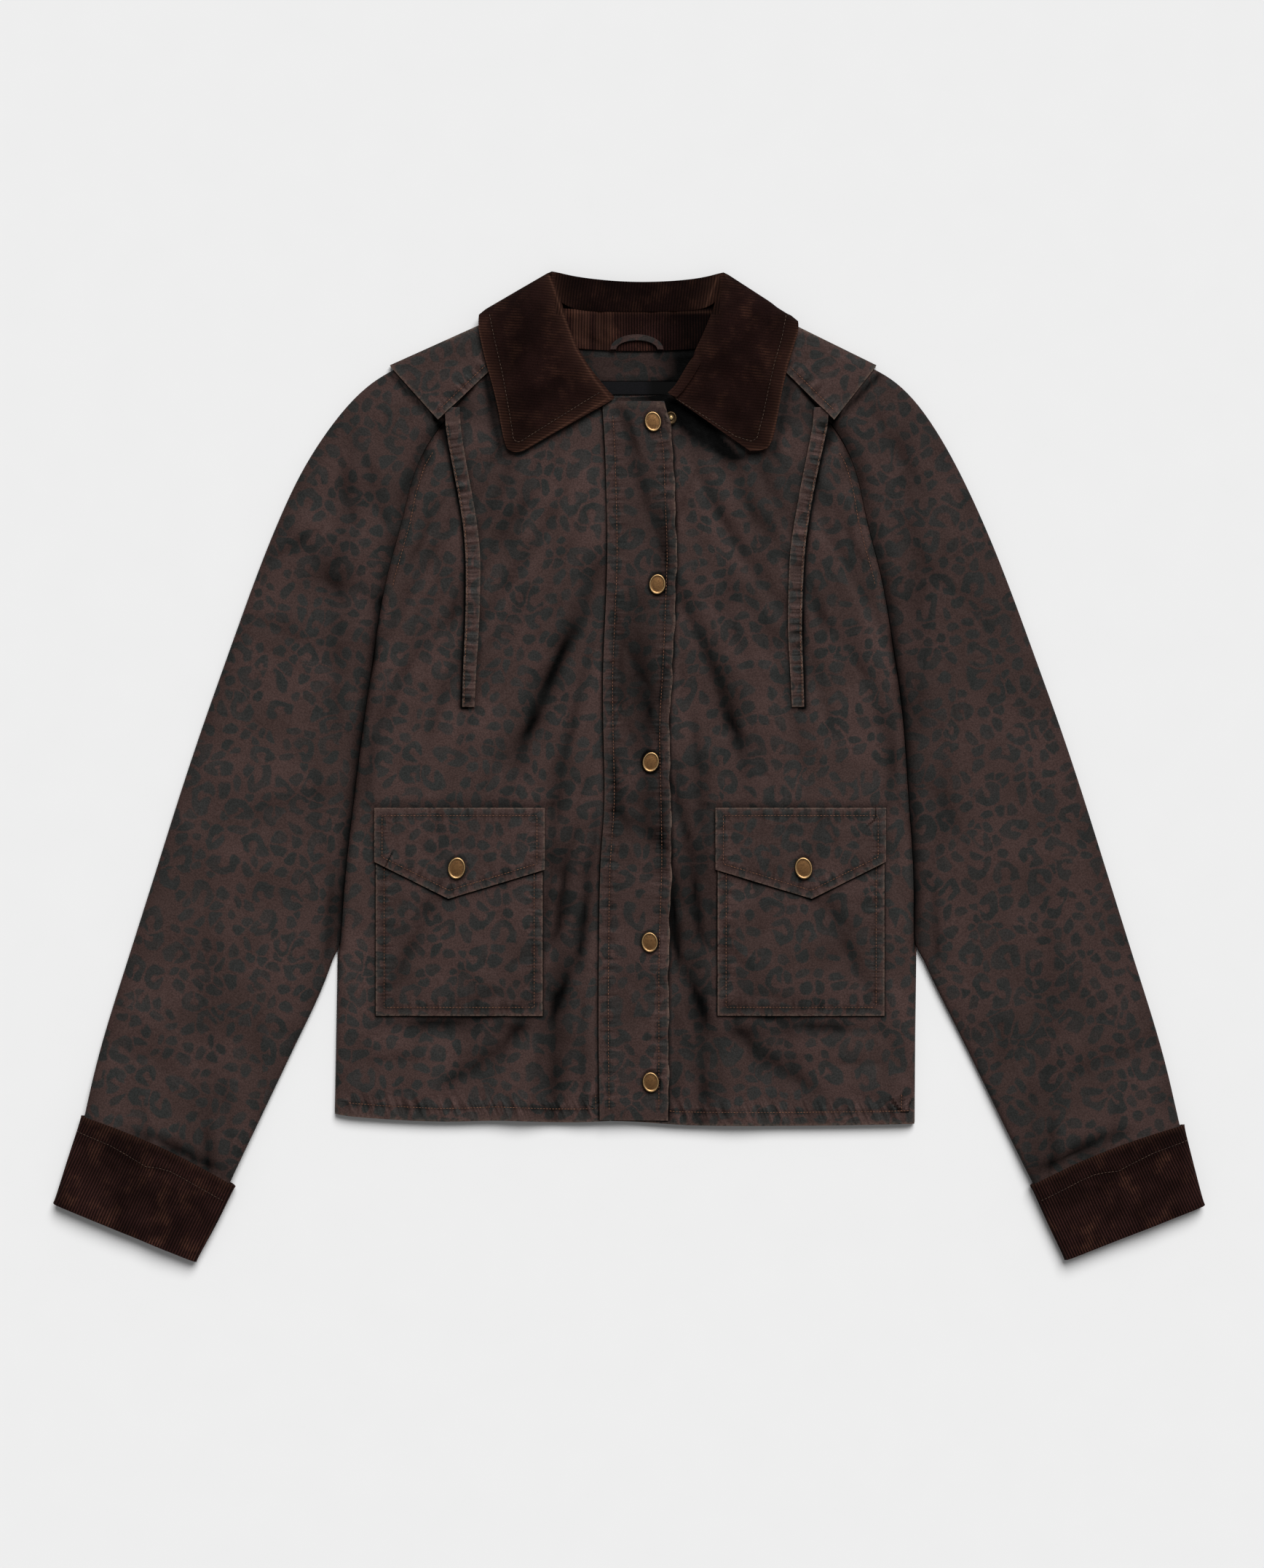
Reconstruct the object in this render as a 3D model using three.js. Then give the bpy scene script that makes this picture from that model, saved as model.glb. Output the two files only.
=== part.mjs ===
// A short waxed-cotton jacket with raglan sleeves, laid on its back with its front closed.
// Millimetres. +X runs to the wearer's left, +Y from the hem to the collar, +Z up from the surface
// that it lies on. Every piece that is cut and sewn is its own mesh; the back lies flat at the
// bottom, the fronts and sleeves lie on it, and the trims lie on those.
import * as THREE from "three";

// ---- Driving dimensions ----------------------------------------------------------------------
const BODY_CLOTH = 2.4; // waxed cotton with its lining, as one wall
const TRIM_CLOTH = 1.5; // unlined waxed cotton: pockets, flaps, strips
const CORDUROY = 2.2; // collar and cuffs
const LINING = 1.1;
const SEAM_GAP = 0.3; // air between pieces that are sewn to each other
const EASE = 0.8; // air between pieces that only lie beside or on each other
const BODY_LOFT = 3.5; // how far the fronts stand off the back between the seams
const EDGE_ROUND = 10; // width of the rounded border along a side seam
const SLEEVE_HEIGHT = 8; // a flattened sleeve, both layers
const CUFF_HEIGHT = 14;
// The snap caps are upright ovals.
const FLY_CAP = { across: 13.8, tall: 17, height: 2.4 };
const POCKET_CAP = { across: 14.6, tall: 18.4, height: 2.4 };
const STUD_RING = { across: 9.4, tall: 11, height: 1 };

const BACK_TOP = BODY_CLOTH;
const FRONT_FLOOR = BACK_TOP + SEAM_GAP; // lowest the underside of a front can be

// ---- Outlines --------------------------------------------------------------------------------
// Both edges of the body from hem to neck: raglan seam above the underarm, side seam below it.
// The edges are at shift - half and shift + half.
const BODY_EDGE = [
  { y: -291, half: 239, shift: -4 },
  { y: -220, half: 238.5, shift: -3 },
  { y: -148, half: 237.5, shift: -2 },
  { y: -90, half: 236, shift: 0 },
  { y: -13, half: 228.6, shift: 1.8 },
  { y: 41, half: 223.6, shift: 3.5 },
  { y: 80, half: 217.7, shift: 4 },
  { y: 113, half: 213, shift: 3.6 },
  { y: 157, half: 205.5, shift: 3.8 },
  { y: 202, half: 193, shift: 4 },
  { y: 229, half: 188, shift: 4.5 },
  { y: 250, half: 182, shift: 5 },
  { y: 270, half: 171.5, shift: 5.5 },
  { y: 282, half: 163, shift: 6 },
  { y: 329, half: 125, shift: 5.5 },
  { y: 361, half: 100, shift: 5 },
];

// The bottom edge of the body, from the wearer's right to left.
const HEM = [
  { x: -245, y: -285 },
  { x: -225, y: -288 },
  { x: -150, y: -292 },
  { x: -110, y: -290.5 },
  { x: -55, y: -292.5 },
  { x: 0, y: -291 },
  { x: 40, y: -294.5 },
  { x: 150, y: -295 },
  { x: 240, y: -293.5 },
];

// The front neck edges, under the collar.
const NECK = {
  right: [
    { y: 302, x: -13.5 },
    { y: 308, x: -32 },
    { y: 320, x: -54 },
    { y: 335, x: -73 },
    { y: 348, x: -85 },
    { y: 358, x: -92 },
  ],
  left: [
    { y: 305, x: -11.5 },
    { y: 306.5, x: 38 },
    { y: 318, x: 62 },
    { y: 333, x: 81 },
    { y: 347, x: 93 },
    { y: 358, x: 101 },
  ],
};

// The storm fly down the centre: its sewn edge and its free edge.
const FLY = [
  { y: -289, sewn: -24.6, free: 32.2 },
  { y: -222, sewn: -25.5, free: 32.2 },
  { y: -150, sewn: -25.2, free: 32.4 },
  { y: -80, sewn: -24, free: 34.6 },
  { y: -29, sewn: -20.6, free: 34 },
  { y: 33, sewn: -21.6, free: 32.8 },
  { y: 80, sewn: -21.8, free: 35.4 },
  { y: 143, sewn: -19.2, free: 38 },
  { y: 179, sewn: -18.2, free: 39 },
  { y: 224, sewn: -19, free: 37.2 },
  { y: 270, sewn: -20.4, free: 35.4 },
  { y: 288, sewn: -21.8, free: 30.8 },
  { y: 298, sewn: -22.6, free: 28.5 },
];
const FLY_SEAM_ALLOWANCE = 8; // how far the right front runs on under the fly

// The sleeve across its flat width, from the inner edge to the shoulder or outer edge. Down to the
// underarm the inner edge follows the body, so only its height is read. The wearer's left sleeve
// lies further out, by moreIn and moreOut.
const SLEEVE = [
  { inX: 100, inY: 361, outX: 106, outY: 369.5, moreIn: 0, moreOut: 0 },
  { inX: 125, inY: 331, outX: 141, outY: 355.5, moreIn: 0, moreOut: 0 },
  { inX: 160, inY: 284, outX: 190.5, outY: 333, moreIn: 0, moreOut: 0.5 },
  { inX: 182, inY: 250, outX: 222.8, outY: 313.6, moreIn: 0, moreOut: 1 },
  { inX: 193, inY: 202, outX: 259.6, outY: 265.5, moreIn: 0, moreOut: 1.2 },
  { inX: 203, inY: 160, outX: 287.4, outY: 210, moreIn: 0, moreOut: 1.6 },
  { inX: 213, inY: 105, outX: 309, outY: 156, moreIn: 0, moreOut: 2.2 },
  { inX: 224, inY: 41, outX: 331, outY: 95, moreIn: 0, moreOut: 2.6 },
  { inX: 231, inY: -50, outX: 361, outY: 10, moreIn: 0, moreOut: 3 },
  { inX: 238, inY: -147, outX: 392, outY: -88, moreIn: 0, moreOut: 2.8 },
  { inX: 269, inY: -215, outX: 413.5, outY: -156, moreIn: 1, moreOut: 2.4 },
  { inX: 303, inY: -287, outX: 437.5, outY: -233, moreIn: 1.5, moreOut: 2.4 },
  { inX: 328.5, inY: -341, outX: 449.5, outY: -287, moreIn: 2.5, moreOut: 2.6 },
  { inX: 336, inY: -358, outX: 454, outY: -306, moreIn: 4, moreOut: 2.6 },
  { inX: 358.5, inY: -403, outX: 469, outY: -358, moreIn: 1, moreOut: 1 },
];
const UNDERARM = 9; // row of SLEEVE at which the sleeve leaves the body
const SLEEVE_LIFT = { from: 0.76, to: 0.85 }; // shares of the way down: it climbs into the cuff

// The turned-back cuff, from its free upper edge to the fold at the wrist.
const CUFF = {
  right: [
    { inX: 324.6, inY: -345, outX: 452, outY: -286.5 },
    { inX: 340, inY: -377, outX: 464, outY: -323 },
    { inX: 357, inY: -407.5, outX: 475.2, outY: -359 },
  ],
  left: [
    { inX: 330, inY: -344.5, outX: 457.5, outY: -294 },
    { inX: 344, inY: -376, outX: 466, outY: -328 },
    { inX: 358.5, inY: -406, outX: 474.5, outY: -360.5 },
  ],
};
const CUFF_BOW = 4; // how far the free edge bows up the sleeve between its ends

// The shoulder flap, half of it: top edge on the shoulder line, lower edge towards the chest.
const SHOULDER_FLAP = {
  shoulder: { x: 200.4, y: 331, shift: 3 },
  neckTop: { x: 112, y: 372.5, shift: 7 },
  neckBottom: { x: 103, y: 345, shift: 6.5 },
  chest: { x: 163, y: 286.5, shift: 5.4 },
};

// The narrow storm strip down each side of the chest, from its bottom end up.
const CHEST_STRIP = [
  { y: 50, outer: 140.7, width: 10, shift: 3 },
  { y: 79, outer: 140, width: 10.7, shift: 3 },
  { y: 114, outer: 138.5, width: 11.4, shift: 3.2 },
  { y: 150, outer: 138.7, width: 11.8, shift: 4 },
  { y: 180, outer: 139.8, width: 12, shift: 4.6 },
  { y: 207, outer: 143, width: 11.5, shift: 5 },
  { y: 236, outer: 148.2, width: 11.5, shift: 5 },
  { y: 266, outer: 154.4, width: 12, shift: 5.4 },
  { y: 287, outer: 158.2, width: 12.5, shift: 6 },
];

const POCKET = { inner: 72, outer: 209.5, top: -36, bottom: -204.5, loft: 1.6 };
const POCKET_FLAP = {
  inner: 70.2,
  outer: 210.6,
  top: -33,
  innerBottom: -84,
  outerBottom: -77.5,
  pointX: 149.5,
  pointY: -108,
};
const POCKET_SNAP = { x: 142.6, y: -82.7, turn: 9 };

// turn is how far a cap leans from upright, in degrees, anticlockwise.
const FLY_SNAPS = [
  { x: 19.3, y: 285, turn: 11 },
  { x: 22.9, y: 151, turn: -5 },
  { x: 17.5, y: 4.6, turn: -12 },
  { x: 16.6, y: -143.7, turn: 4 },
  { x: 17.5, y: -258.9, turn: 7 },
];
const STUD = { x: 34.2, y: 288, turn: 8 };

// The collar in sections, from the wearer's right front round the back of the neck. fold is its
// upper edge and edge its free one; inside is how far the turned-in side reaches from the fold
// towards the angle turn (degrees), tops and edges give heights of the middle of the cloth.
const COLLAR = [
  { foldX: -12, foldY: 303.5, edgeX: -88, edgeY: 260.5, foldZ: 12.4, edgeZ: 12.2, turn: 130, inside: 2 },
  { foldX: -15, foldY: 308, edgeX: -97, edgeY: 260, foldZ: 12.6, edgeZ: 12.2, turn: 150, inside: 4 },
  { foldX: -19, foldY: 313, edgeX: -103, edgeY: 268, foldZ: 12.8, edgeZ: 12.2, turn: 170, inside: 6 },
  { foldX: -33, foldY: 330, edgeX: -109, edgeY: 301, foldZ: 13.4, edgeZ: 13, turn: 190, inside: 8 },
  { foldX: -44, foldY: 349, edgeX: -117.5, edgeY: 332, foldZ: 14, edgeZ: 14, turn: 192, inside: 8 },
  { foldX: -52, foldY: 370, edgeX: -122.6, edgeY: 353, foldZ: 14, edgeZ: 14.2, turn: 190, inside: 8 },
  { foldX: -57.5, foldY: 390, edgeX: -124.2, edgeY: 366, foldZ: 13, edgeZ: 13.4, turn: 205, inside: 9 },
  { foldX: -63.5, foldY: 408.5, edgeX: -120.5, edgeY: 376, foldZ: 9, edgeZ: 7, turn: 260, inside: 14 },
  { foldX: -54, foldY: 407.3, edgeX: -97, edgeY: 382, foldZ: 7, edgeZ: 1.8, turn: 266, inside: 24 },
  { foldX: -38, foldY: 404.5, edgeX: -70, edgeY: 364, foldZ: 6, edgeZ: 1.8, turn: 270, inside: 26.5 },
  { foldX: -14, foldY: 402, edgeX: -28, edgeY: 353, foldZ: 6, edgeZ: 1.8, turn: 270, inside: 24.8 },
  { foldX: 10, foldY: 401, edgeX: 10, edgeY: 350, foldZ: 6, edgeZ: 1.8, turn: 270, inside: 24 },
  { foldX: 34, foldY: 401.8, edgeX: 48, edgeY: 353, foldZ: 6, edgeZ: 1.8, turn: 270, inside: 24.2 },
  { foldX: 54, foldY: 403.7, edgeX: 84, edgeY: 364, foldZ: 6, edgeZ: 1.8, turn: 270, inside: 25.5 },
  { foldX: 68, foldY: 406.2, edgeX: 112, edgeY: 380, foldZ: 7, edgeZ: 1.8, turn: 274, inside: 23 },
  { foldX: 77, foldY: 407.7, edgeX: 135, edgeY: 370.5, foldZ: 9, edgeZ: 7, turn: 280, inside: 14 },
  { foldX: 72, foldY: 389, edgeX: 139, edgeY: 361, foldZ: 13, edgeZ: 13.4, turn: 335, inside: 9 },
  { foldX: 64.5, foldY: 367, edgeX: 134.5, edgeY: 345, foldZ: 14.4, edgeZ: 14.2, turn: 345, inside: 8 },
  { foldX: 55, foldY: 346, edgeX: 128, edgeY: 322, foldZ: 15.4, edgeZ: 14, turn: 340, inside: 8 },
  { foldX: 46, foldY: 329, edgeX: 123.2, edgeY: 298, foldZ: 16.4, edgeZ: 13.2, turn: 335, inside: 8 },
  { foldX: 38, foldY: 315.5, edgeX: 118.6, edgeY: 272, foldZ: 17.4, edgeZ: 12.6, turn: 332, inside: 7 },
  { foldX: 34.5, foldY: 311.5, edgeX: 112, edgeY: 262, foldZ: 17.8, edgeZ: 12.4, turn: 330, inside: 7 },
  { foldX: 31, foldY: 308, edgeX: 99, edgeY: 260.7, foldZ: 18, edgeZ: 12.4, turn: 330, inside: 7 },
];
const COLLAR_ARCH = 3; // how far the fall of the collar bows up between fold and edge
const COLLAR_ROLL = 2.2; // radius of the roll at the fold, to the middle of the cloth

// The collar stand across the back of the neck.
const STAND = { left: 76, right: -62, top: 374.8, bottom: 343.5, topZ: 5.4, crownZ: 7.4, bottomZ: 6.4 };
const FACING = { top: 342.8, bottom: 319, climb: 1.6 };
const LINING_PANEL = { top: 318.6, bottom: 308 };
const LOOP = { centre: 6, halfSpan: 22, footY: 344.5, rise: 12.5, width: 5 };

// ---- Folds -----------------------------------------------------------------------------------
// Ridges (height above 0) and troughs (under 0) in the fronts, as soft bands from one point to
// another. width is the distance at which a band has fallen to about a third.
const BODY_FOLDS = [
  { x1: -40, y1: 262, x2: -122, y2: 96, width: 20, height: 2.2 },
  { x1: -32, y1: 150, x2: -104, y2: 14, width: 11, height: -2.6 },
  { x1: -82, y1: 96, x2: -140, y2: -20, width: 14, height: 2.4 },
  { x1: -38, y1: 86, x2: -46, y2: -20, width: 10, height: 2.6 },
  { x1: -60, y1: 10, x2: -54, y2: -120, width: 9, height: -2 },
  { x1: -170, y1: 130, x2: -196, y2: 60, width: 15, height: 1.6 },
  { x1: -44, y1: -118, x2: -62, y2: -300, width: 8, height: -3.2 },
  { x1: -36, y1: -150, x2: -47, y2: -300, width: 6, height: 3.4 },
  { x1: -74, y1: -190, x2: -88, y2: -300, width: 11, height: 4 },
  { x1: -96, y1: -212, x2: -136, y2: -252, width: 9, height: -2.6 },
  { x1: -120, y1: -222, x2: -178, y2: -262, width: 13, height: 2.4 },
  { x1: -12, y1: 284, x2: 24, y2: 178, width: 8, height: -2.6 },
  { x1: 56, y1: 240, x2: 78, y2: 110, width: 18, height: 2 },
  { x1: 96, y1: 236, x2: 132, y2: 130, width: 15, height: 1.8 },
  { x1: 70, y1: 56, x2: 122, y2: 2, width: 11, height: -2.4 },
  { x1: 100, y1: 70, x2: 168, y2: -20, width: 15, height: 1.8 },
  { x1: 176, y1: 150, x2: 206, y2: 60, width: 13, height: 1.6 },
  { x1: 40, y1: -112, x2: 62, y2: -236, width: 9, height: -3.2 },
  { x1: 60, y1: -236, x2: 84, y2: -300, width: 11, height: 3.6 },
  { x1: 92, y1: -212, x2: 142, y2: -256, width: 9, height: -2.6 },
  { x1: 128, y1: -220, x2: 184, y2: -254, width: 13, height: 2.4 },
  { x1: -10, y1: 110, x2: -12, y2: 40, width: 12, height: -2 },
];

// The same for the upper layer of a sleeve, given for the wearer's left one.
const SLEEVE_FOLDS = [
  { x1: 276, y1: 186, x2: 226, y2: 142, width: 8, height: -1.6 },
  { x1: 262, y1: 206, x2: 214, y2: 160, width: 10, height: 2.4 },
  { x1: 290, y1: 130, x2: 240, y2: 100, width: 13, height: 1.8 },
  { x1: 300, y1: 60, x2: 262, y2: 20, width: 16, height: 1.6 },
  { x1: 350, y1: -40, x2: 286, y2: -66, width: 18, height: 1.8 },
  { x1: 384, y1: -150, x2: 300, y2: -190, width: 18, height: 2 },
  { x1: 350, y1: -298, x2: 346, y2: -326, width: 6, height: 2.6 },
  { x1: 420, y1: -244, x2: 352, y2: -262, width: 14, height: 1.6 },
];

function foldHeight(folds, x, y) {
  let height = 0;
  for (const f of folds) {
    const dx = f.x2 - f.x1;
    const dy = f.y2 - f.y1;
    const length = Math.hypot(dx, dy);
    const along = ((x - f.x1) * dx + (y - f.y1) * dy) / length;
    const across = ((x - f.x1) * dy - (y - f.y1) * dx) / length;
    const past = Math.max(0, -along, along - length);
    height += f.height * Math.exp(-(across * across + past * past) / (f.width * f.width));
  }
  return height;
}

// ---- Reading the tables ----------------------------------------------------------------------
// The value of a column at a height, smooth between the rows.
function column(rows, key, at, by = "y") {
  const ordered = rows[0][by] < rows[rows.length - 1][by] ? rows : [...rows].reverse();
  const last = ordered.length - 1;
  const a = Math.min(Math.max(at, ordered[0][by]), ordered[last][by]);
  let i = 0;
  while (i < last - 1 && a > ordered[i + 1][by]) i += 1;
  const [r0, r1] = [ordered[i], ordered[i + 1]];
  const span = r1[by] - r0[by];
  const slope = (lo, hi) => (hi[key] - lo[key]) / (hi[by] - lo[by]);
  const m0 = (i > 0 ? slope(ordered[i - 1], r1) : slope(r0, r1)) * span;
  const m1 = (i + 2 <= last ? slope(r0, ordered[i + 2]) : slope(r0, r1)) * span;
  const t = (a - r0[by]) / span;
  const t2 = t * t;
  const t3 = t2 * t;
  return (
    (2 * t3 - 3 * t2 + 1) * r0[key] +
    (t3 - 2 * t2 + t) * m0 +
    (3 * t2 - 2 * t3) * r1[key] +
    (t3 - t2) * m1
  );
}

// side is -1 for the wearer's right and +1 for the wearer's left.
const bodyEdge = (side, y) => column(BODY_EDGE, "shift", y) + side * column(BODY_EDGE, "half", y);
const hemY = (x) => column(HEM, "y", x, "x");
const mix = (a, b, t) => a + (b - a) * t;
const SIDE_NAMES = { "-1": "right", 1: "left" };
const onSide = (side, point) => [point.shift + side * point.x, point.y];

// ---- The lie of the cloth --------------------------------------------------------------------
const roundedBorder = (distance) =>
  Math.sqrt(1 - (1 - Math.min(Math.max(distance / EDGE_ROUND, 0), 1)) ** 2);

// Height of the underside of a front.
function frontUnder(x, y) {
  const toEdge = Math.min(x - bodyEdge(-1, y), bodyEdge(1, y) - x);
  const border = roundedBorder(toEdge);
  const loft = BODY_LOFT + foldHeight(BODY_FOLDS, x, y);
  return FRONT_FLOOR + Math.max(loft, 0) * border;
}
// ---- Solids from grids -----------------------------------------------------------------------
function meshOf(positions, triangles) {
  const geometry = new THREE.BufferGeometry();
  geometry.setAttribute("position", new THREE.Float32BufferAttribute(positions.flat(), 3));
  geometry.setIndex(triangles.flat());
  geometry.computeVertexNormals();
  return geometry;
}

// A closed wall between two faces of the same grid. Rows may close on themselves into a tube.
function wall(upper, lower, closed = false) {
  const rows = upper.length;
  const cols = upper[0].length;
  const across = closed ? cols : cols - 1;
  const up = (i, j) => i * cols + (j % cols);
  const down = (i, j) => rows * cols + i * cols + (j % cols);
  const triangles = [];
  const quad = (a, b, c, d) => triangles.push([a, b, c], [a, c, d]);
  for (let i = 0; i < rows - 1; i += 1) {
    for (let j = 0; j < across; j += 1) {
      quad(up(i, j), up(i, j + 1), up(i + 1, j + 1), up(i + 1, j));
      quad(down(i, j), down(i + 1, j), down(i + 1, j + 1), down(i, j + 1));
    }
    if (!closed) {
      quad(up(i, 0), up(i + 1, 0), down(i + 1, 0), down(i, 0));
      quad(up(i, cols - 1), down(i, cols - 1), down(i + 1, cols - 1), up(i + 1, cols - 1));
    }
  }
  for (let j = 0; j < across; j += 1) {
    quad(up(0, j), down(0, j), down(0, j + 1), up(0, j + 1));
    quad(up(rows - 1, j), up(rows - 1, j + 1), down(rows - 1, j + 1), down(rows - 1, j));
  }
  return meshOf([...upper.flat(), ...lower.flat()], triangles);
}

// A sheet that lies flat: rows of [x, y] with x growing along a row and y growing row by row.
function sheet(plan, underside, thickness) {
  const lower = plan.map((row) => row.map(([x, y]) => [x, y, underside(x, y)]));
  const upper = lower.map((row) => row.map(([x, y, z]) => [x, y, z + thickness]));
  return wall(upper, lower);
}

// A bent sheet, given by the middle of the cloth and thickened along its normals.
function bentSheet(middle, thickness) {
  const point = (i, j) => {
    const row = middle[Math.min(Math.max(i, 0), middle.length - 1)];
    return new THREE.Vector3(...row[Math.min(Math.max(j, 0), row.length - 1)]);
  };
  const face = (sign) =>
    middle.map((row, i) =>
      row.map((_, j) => {
        const along = point(i, j + 1).sub(point(i, j - 1));
        const over = point(i + 1, j).sub(point(i - 1, j));
        const normal = along.cross(over).normalize();
        return point(i, j).addScaledVector(normal, (sign * thickness) / 2).toArray();
      }),
    );
  return wall(face(1), face(-1));
}

const steps = (count) => Array.from({ length: count + 1 }, (_, i) => i / count);

// ---- Laying one piece on others --------------------------------------------------------------
// The height of the top of some pieces over a point, -Infinity beside them.
function topOf(...geometries) {
  const cell = 20;
  const cells = new Map();
  const key = (i, j) => i * 1000 + j;
  for (const geometry of geometries) {
    const p = geometry.getAttribute("position");
    const index = geometry.getIndex();
    for (let i = 0; i < index.count; i += 3) {
      const [a, b, c] = [0, 1, 2].map((k) => {
        const v = index.getX(i + k);
        return [p.getX(v), p.getY(v), p.getZ(v)];
      });
      const area = (b[0] - a[0]) * (c[1] - a[1]) - (c[0] - a[0]) * (b[1] - a[1]);
      if (area < 1e-6) continue;
      const range = (k) => [Math.min(a[k], b[k], c[k]), Math.max(a[k], b[k], c[k])];
      const [[x0, x1], [y0, y1]] = [range(0), range(1)];
      for (let u = Math.floor(x0 / cell); u <= Math.floor(x1 / cell); u += 1) {
        for (let v = Math.floor(y0 / cell); v <= Math.floor(y1 / cell); v += 1) {
          if (!cells.has(key(u, v))) cells.set(key(u, v), []);
          cells.get(key(u, v)).push([a, b, c, area]);
        }
      }
    }
  }
  return (x, y) => {
    let highest = -Infinity;
    for (const [a, b, c, area] of cells.get(key(Math.floor(x / cell), Math.floor(y / cell))) ?? []) {
      const s = ((x - a[0]) * (c[1] - a[1]) - (c[0] - a[0]) * (y - a[1])) / area;
      const t = ((b[0] - a[0]) * (y - a[1]) - (x - a[0]) * (b[1] - a[1])) / area;
      if (s < -1e-6 || t < -1e-6 || s + t > 1 + 1e-6) continue;
      highest = Math.max(highest, a[2] + s * (b[2] - a[2]) + t * (c[2] - a[2]));
    }
    return highest;
  };
}

// The height at which a piece can lie on a surface: it bridges hollows narrower than its reach.
function restingOn(surface, x, y, reach = 6) {
  let highest = surface(x, y);
  for (const share of [0.5, 1]) {
    for (let k = 0; k < 12; k += 1) {
      const angle = (k * Math.PI) / 6;
      const [dx, dy] = [reach * share * Math.cos(angle), reach * share * Math.sin(angle)];
      highest = Math.max(highest, surface(x + dx, y + dy));
    }
  }
  return highest + SEAM_GAP;
}

// ---- Body ------------------------------------------------------------------------------------
function backPanel() {
  const outline = [];
  for (const x of steps(14).map((t) => mix(bodyEdge(-1, -288) + 0.3, bodyEdge(1, -293) - 0.3, t))) {
    outline.push([x, hemY(x) + 1]);
  }
  const heights = BODY_EDGE.slice(1).map((row) => row.y);
  for (const y of heights) outline.push([bodyEdge(1, y) - 0.3, y]);
  const neck = [
    [68, 352],
    [36, 343.5],
    [5, 340.5],
    [-26, 343.5],
    [-58, 352],
  ];
  outline.push(...neck);
  for (const y of [...heights].reverse()) outline.push([bodyEdge(-1, y) + 0.3, y]);
  const shape = new THREE.Shape(outline.map(([x, y]) => new THREE.Vector2(x, y)));
  return new THREE.ExtrudeGeometry(shape, { depth: BODY_CLOTH, bevelEnabled: false });
}

// A front as rows across it, from the hem to the neck point. Each row starts at the side seam.
function frontPanel(side) {
  const neck = NECK[SIDE_NAMES[side]];
  const flyStart = side < 0 ? FLY_SEAM_ALLOWANCE : FLY_SEAM_ALLOWANCE + 2 * SEAM_GAP + 1;
  const heights = [];
  for (let y = -276; y < neck[0].y - 8; y += 24) heights.push(y);
  const nearEdge = [0, 2, 6.5];
  const spans = 9;
  const row = (y, isHem = false) => {
    const outer = bodyEdge(side, y);
    const inner = y < neck[0].y ? column(FLY, "sewn", y) + flyStart : column(neck, "x", y);
    const width = Math.abs(inner - outer);
    const reach = Math.min(1, width / 60); // narrow rows near the neck squeeze the border
    const distances = nearEdge.map((d) => d * reach);
    const start = 14 * reach;
    for (const t of steps(spans)) distances.push(mix(start, width, t));
    const points = distances.map((d) => {
      const x = outer - side * d;
      return [x, isHem ? hemY(x) : y];
    });
    return side < 0 ? points : points.reverse();
  };
  const plan = [row(-290, true), ...heights.map((y) => row(y)), ...neck.map((n) => row(n.y))];
  return sheet(plan, frontUnder, BODY_CLOTH);
}

function stormFly(surface) {
  const heights = [];
  for (let y = -279; y < 297; y += 18) heights.push(y);
  heights.push(299);
  const row = (y) => {
    const [sewn, free] = [column(FLY, "sewn", y), column(FLY, "free", y)];
    return [0, 0.16, 0.33, 0.5, 0.67, 0.84, 1].map((t) => [mix(sewn, free, t), y]);
  };
  const hem = row(-289).map(([x]) => [x, hemY(5) + 0.5]);
  const plan = [hem, ...heights.map(row)];
  return sheet(plan, (x, y) => restingOn(surface, x, y, 8), TRIM_CLOTH);
}

// ---- Sleeves and cuffs -----------------------------------------------------------------------
// One ring of a flattened tube from inner to outer edge. Its outer face, or with inset the inner.
function flatRing(inner, outer, floor, height, inset, folds) {
  const width = Math.hypot(outer[0] - inner[0], outer[1] - inner[1]);
  const ux = (outer[0] - inner[0]) / width;
  const uy = (outer[1] - inner[1]) / width;
  const radius = Math.min(height / 2, width * 0.42);
  const squash = height / 2 - inset;
  const side = radius - inset * (radius / (height / 2));
  const middle = floor + height / 2;
  const flat = width - 2 * radius;
  const section = [];
  for (const t of [0, 0.5, 1]) section.push([radius + flat * t, middle - squash, 0]);
  for (const a of [-45, 0, 45]) {
    const angle = (a * Math.PI) / 180;
    section.push([width - radius + side * Math.cos(angle), middle + squash * Math.sin(angle), 0]);
  }
  for (const t of [1, 0.9, 0.77, 0.64, 0.5, 0.36, 0.23, 0.1, 0]) {
    section.push([radius + flat * t, middle + squash, Math.min(1, Math.sin(Math.PI * t) * 2)]);
  }
  for (const a of [135, 180, 225]) {
    const angle = (a * Math.PI) / 180;
    section.push([radius + side * Math.cos(angle), middle + squash * Math.sin(angle), 0]);
  }
  return section.map(([a, z, share]) => {
    const x = inner[0] + ux * a;
    const y = inner[1] + uy * a;
    return [x, y, z + share * foldHeight(folds, Math.abs(x), y)];
  });
}

// Points of the sleeve's two edges at a share of the way from the neck to the wrist.
function sleeveEdges(side, t) {
  const edge = (keyX, keyY, keyMore) => {
    const more = side > 0 ? 1 : 0;
    const places = SLEEVE.map((r) => new THREE.Vector3(r[keyX] + more * r[keyMore], r[keyY], 0));
    return new THREE.CatmullRomCurve3(places, false, "centripetal").getPoint(t);
  };
  const outer = edge("outX", "outY", "moreOut");
  const inner = edge("inX", "inY", "moreIn");
  const seam = Math.abs(bodyEdge(side, inner.y)) + EASE;
  const joined = inner.y > SLEEVE[UNDERARM].inY - 0.01;
  const shoulderShift = 4 * Math.min(Math.max((outer.y - 250) / 80, 0), 1);
  return {
    inner: [side * (joined ? seam : Math.max(seam, inner.x)), inner.y],
    outer: [side * outer.x + shoulderShift, outer.y],
  };
}

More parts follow.
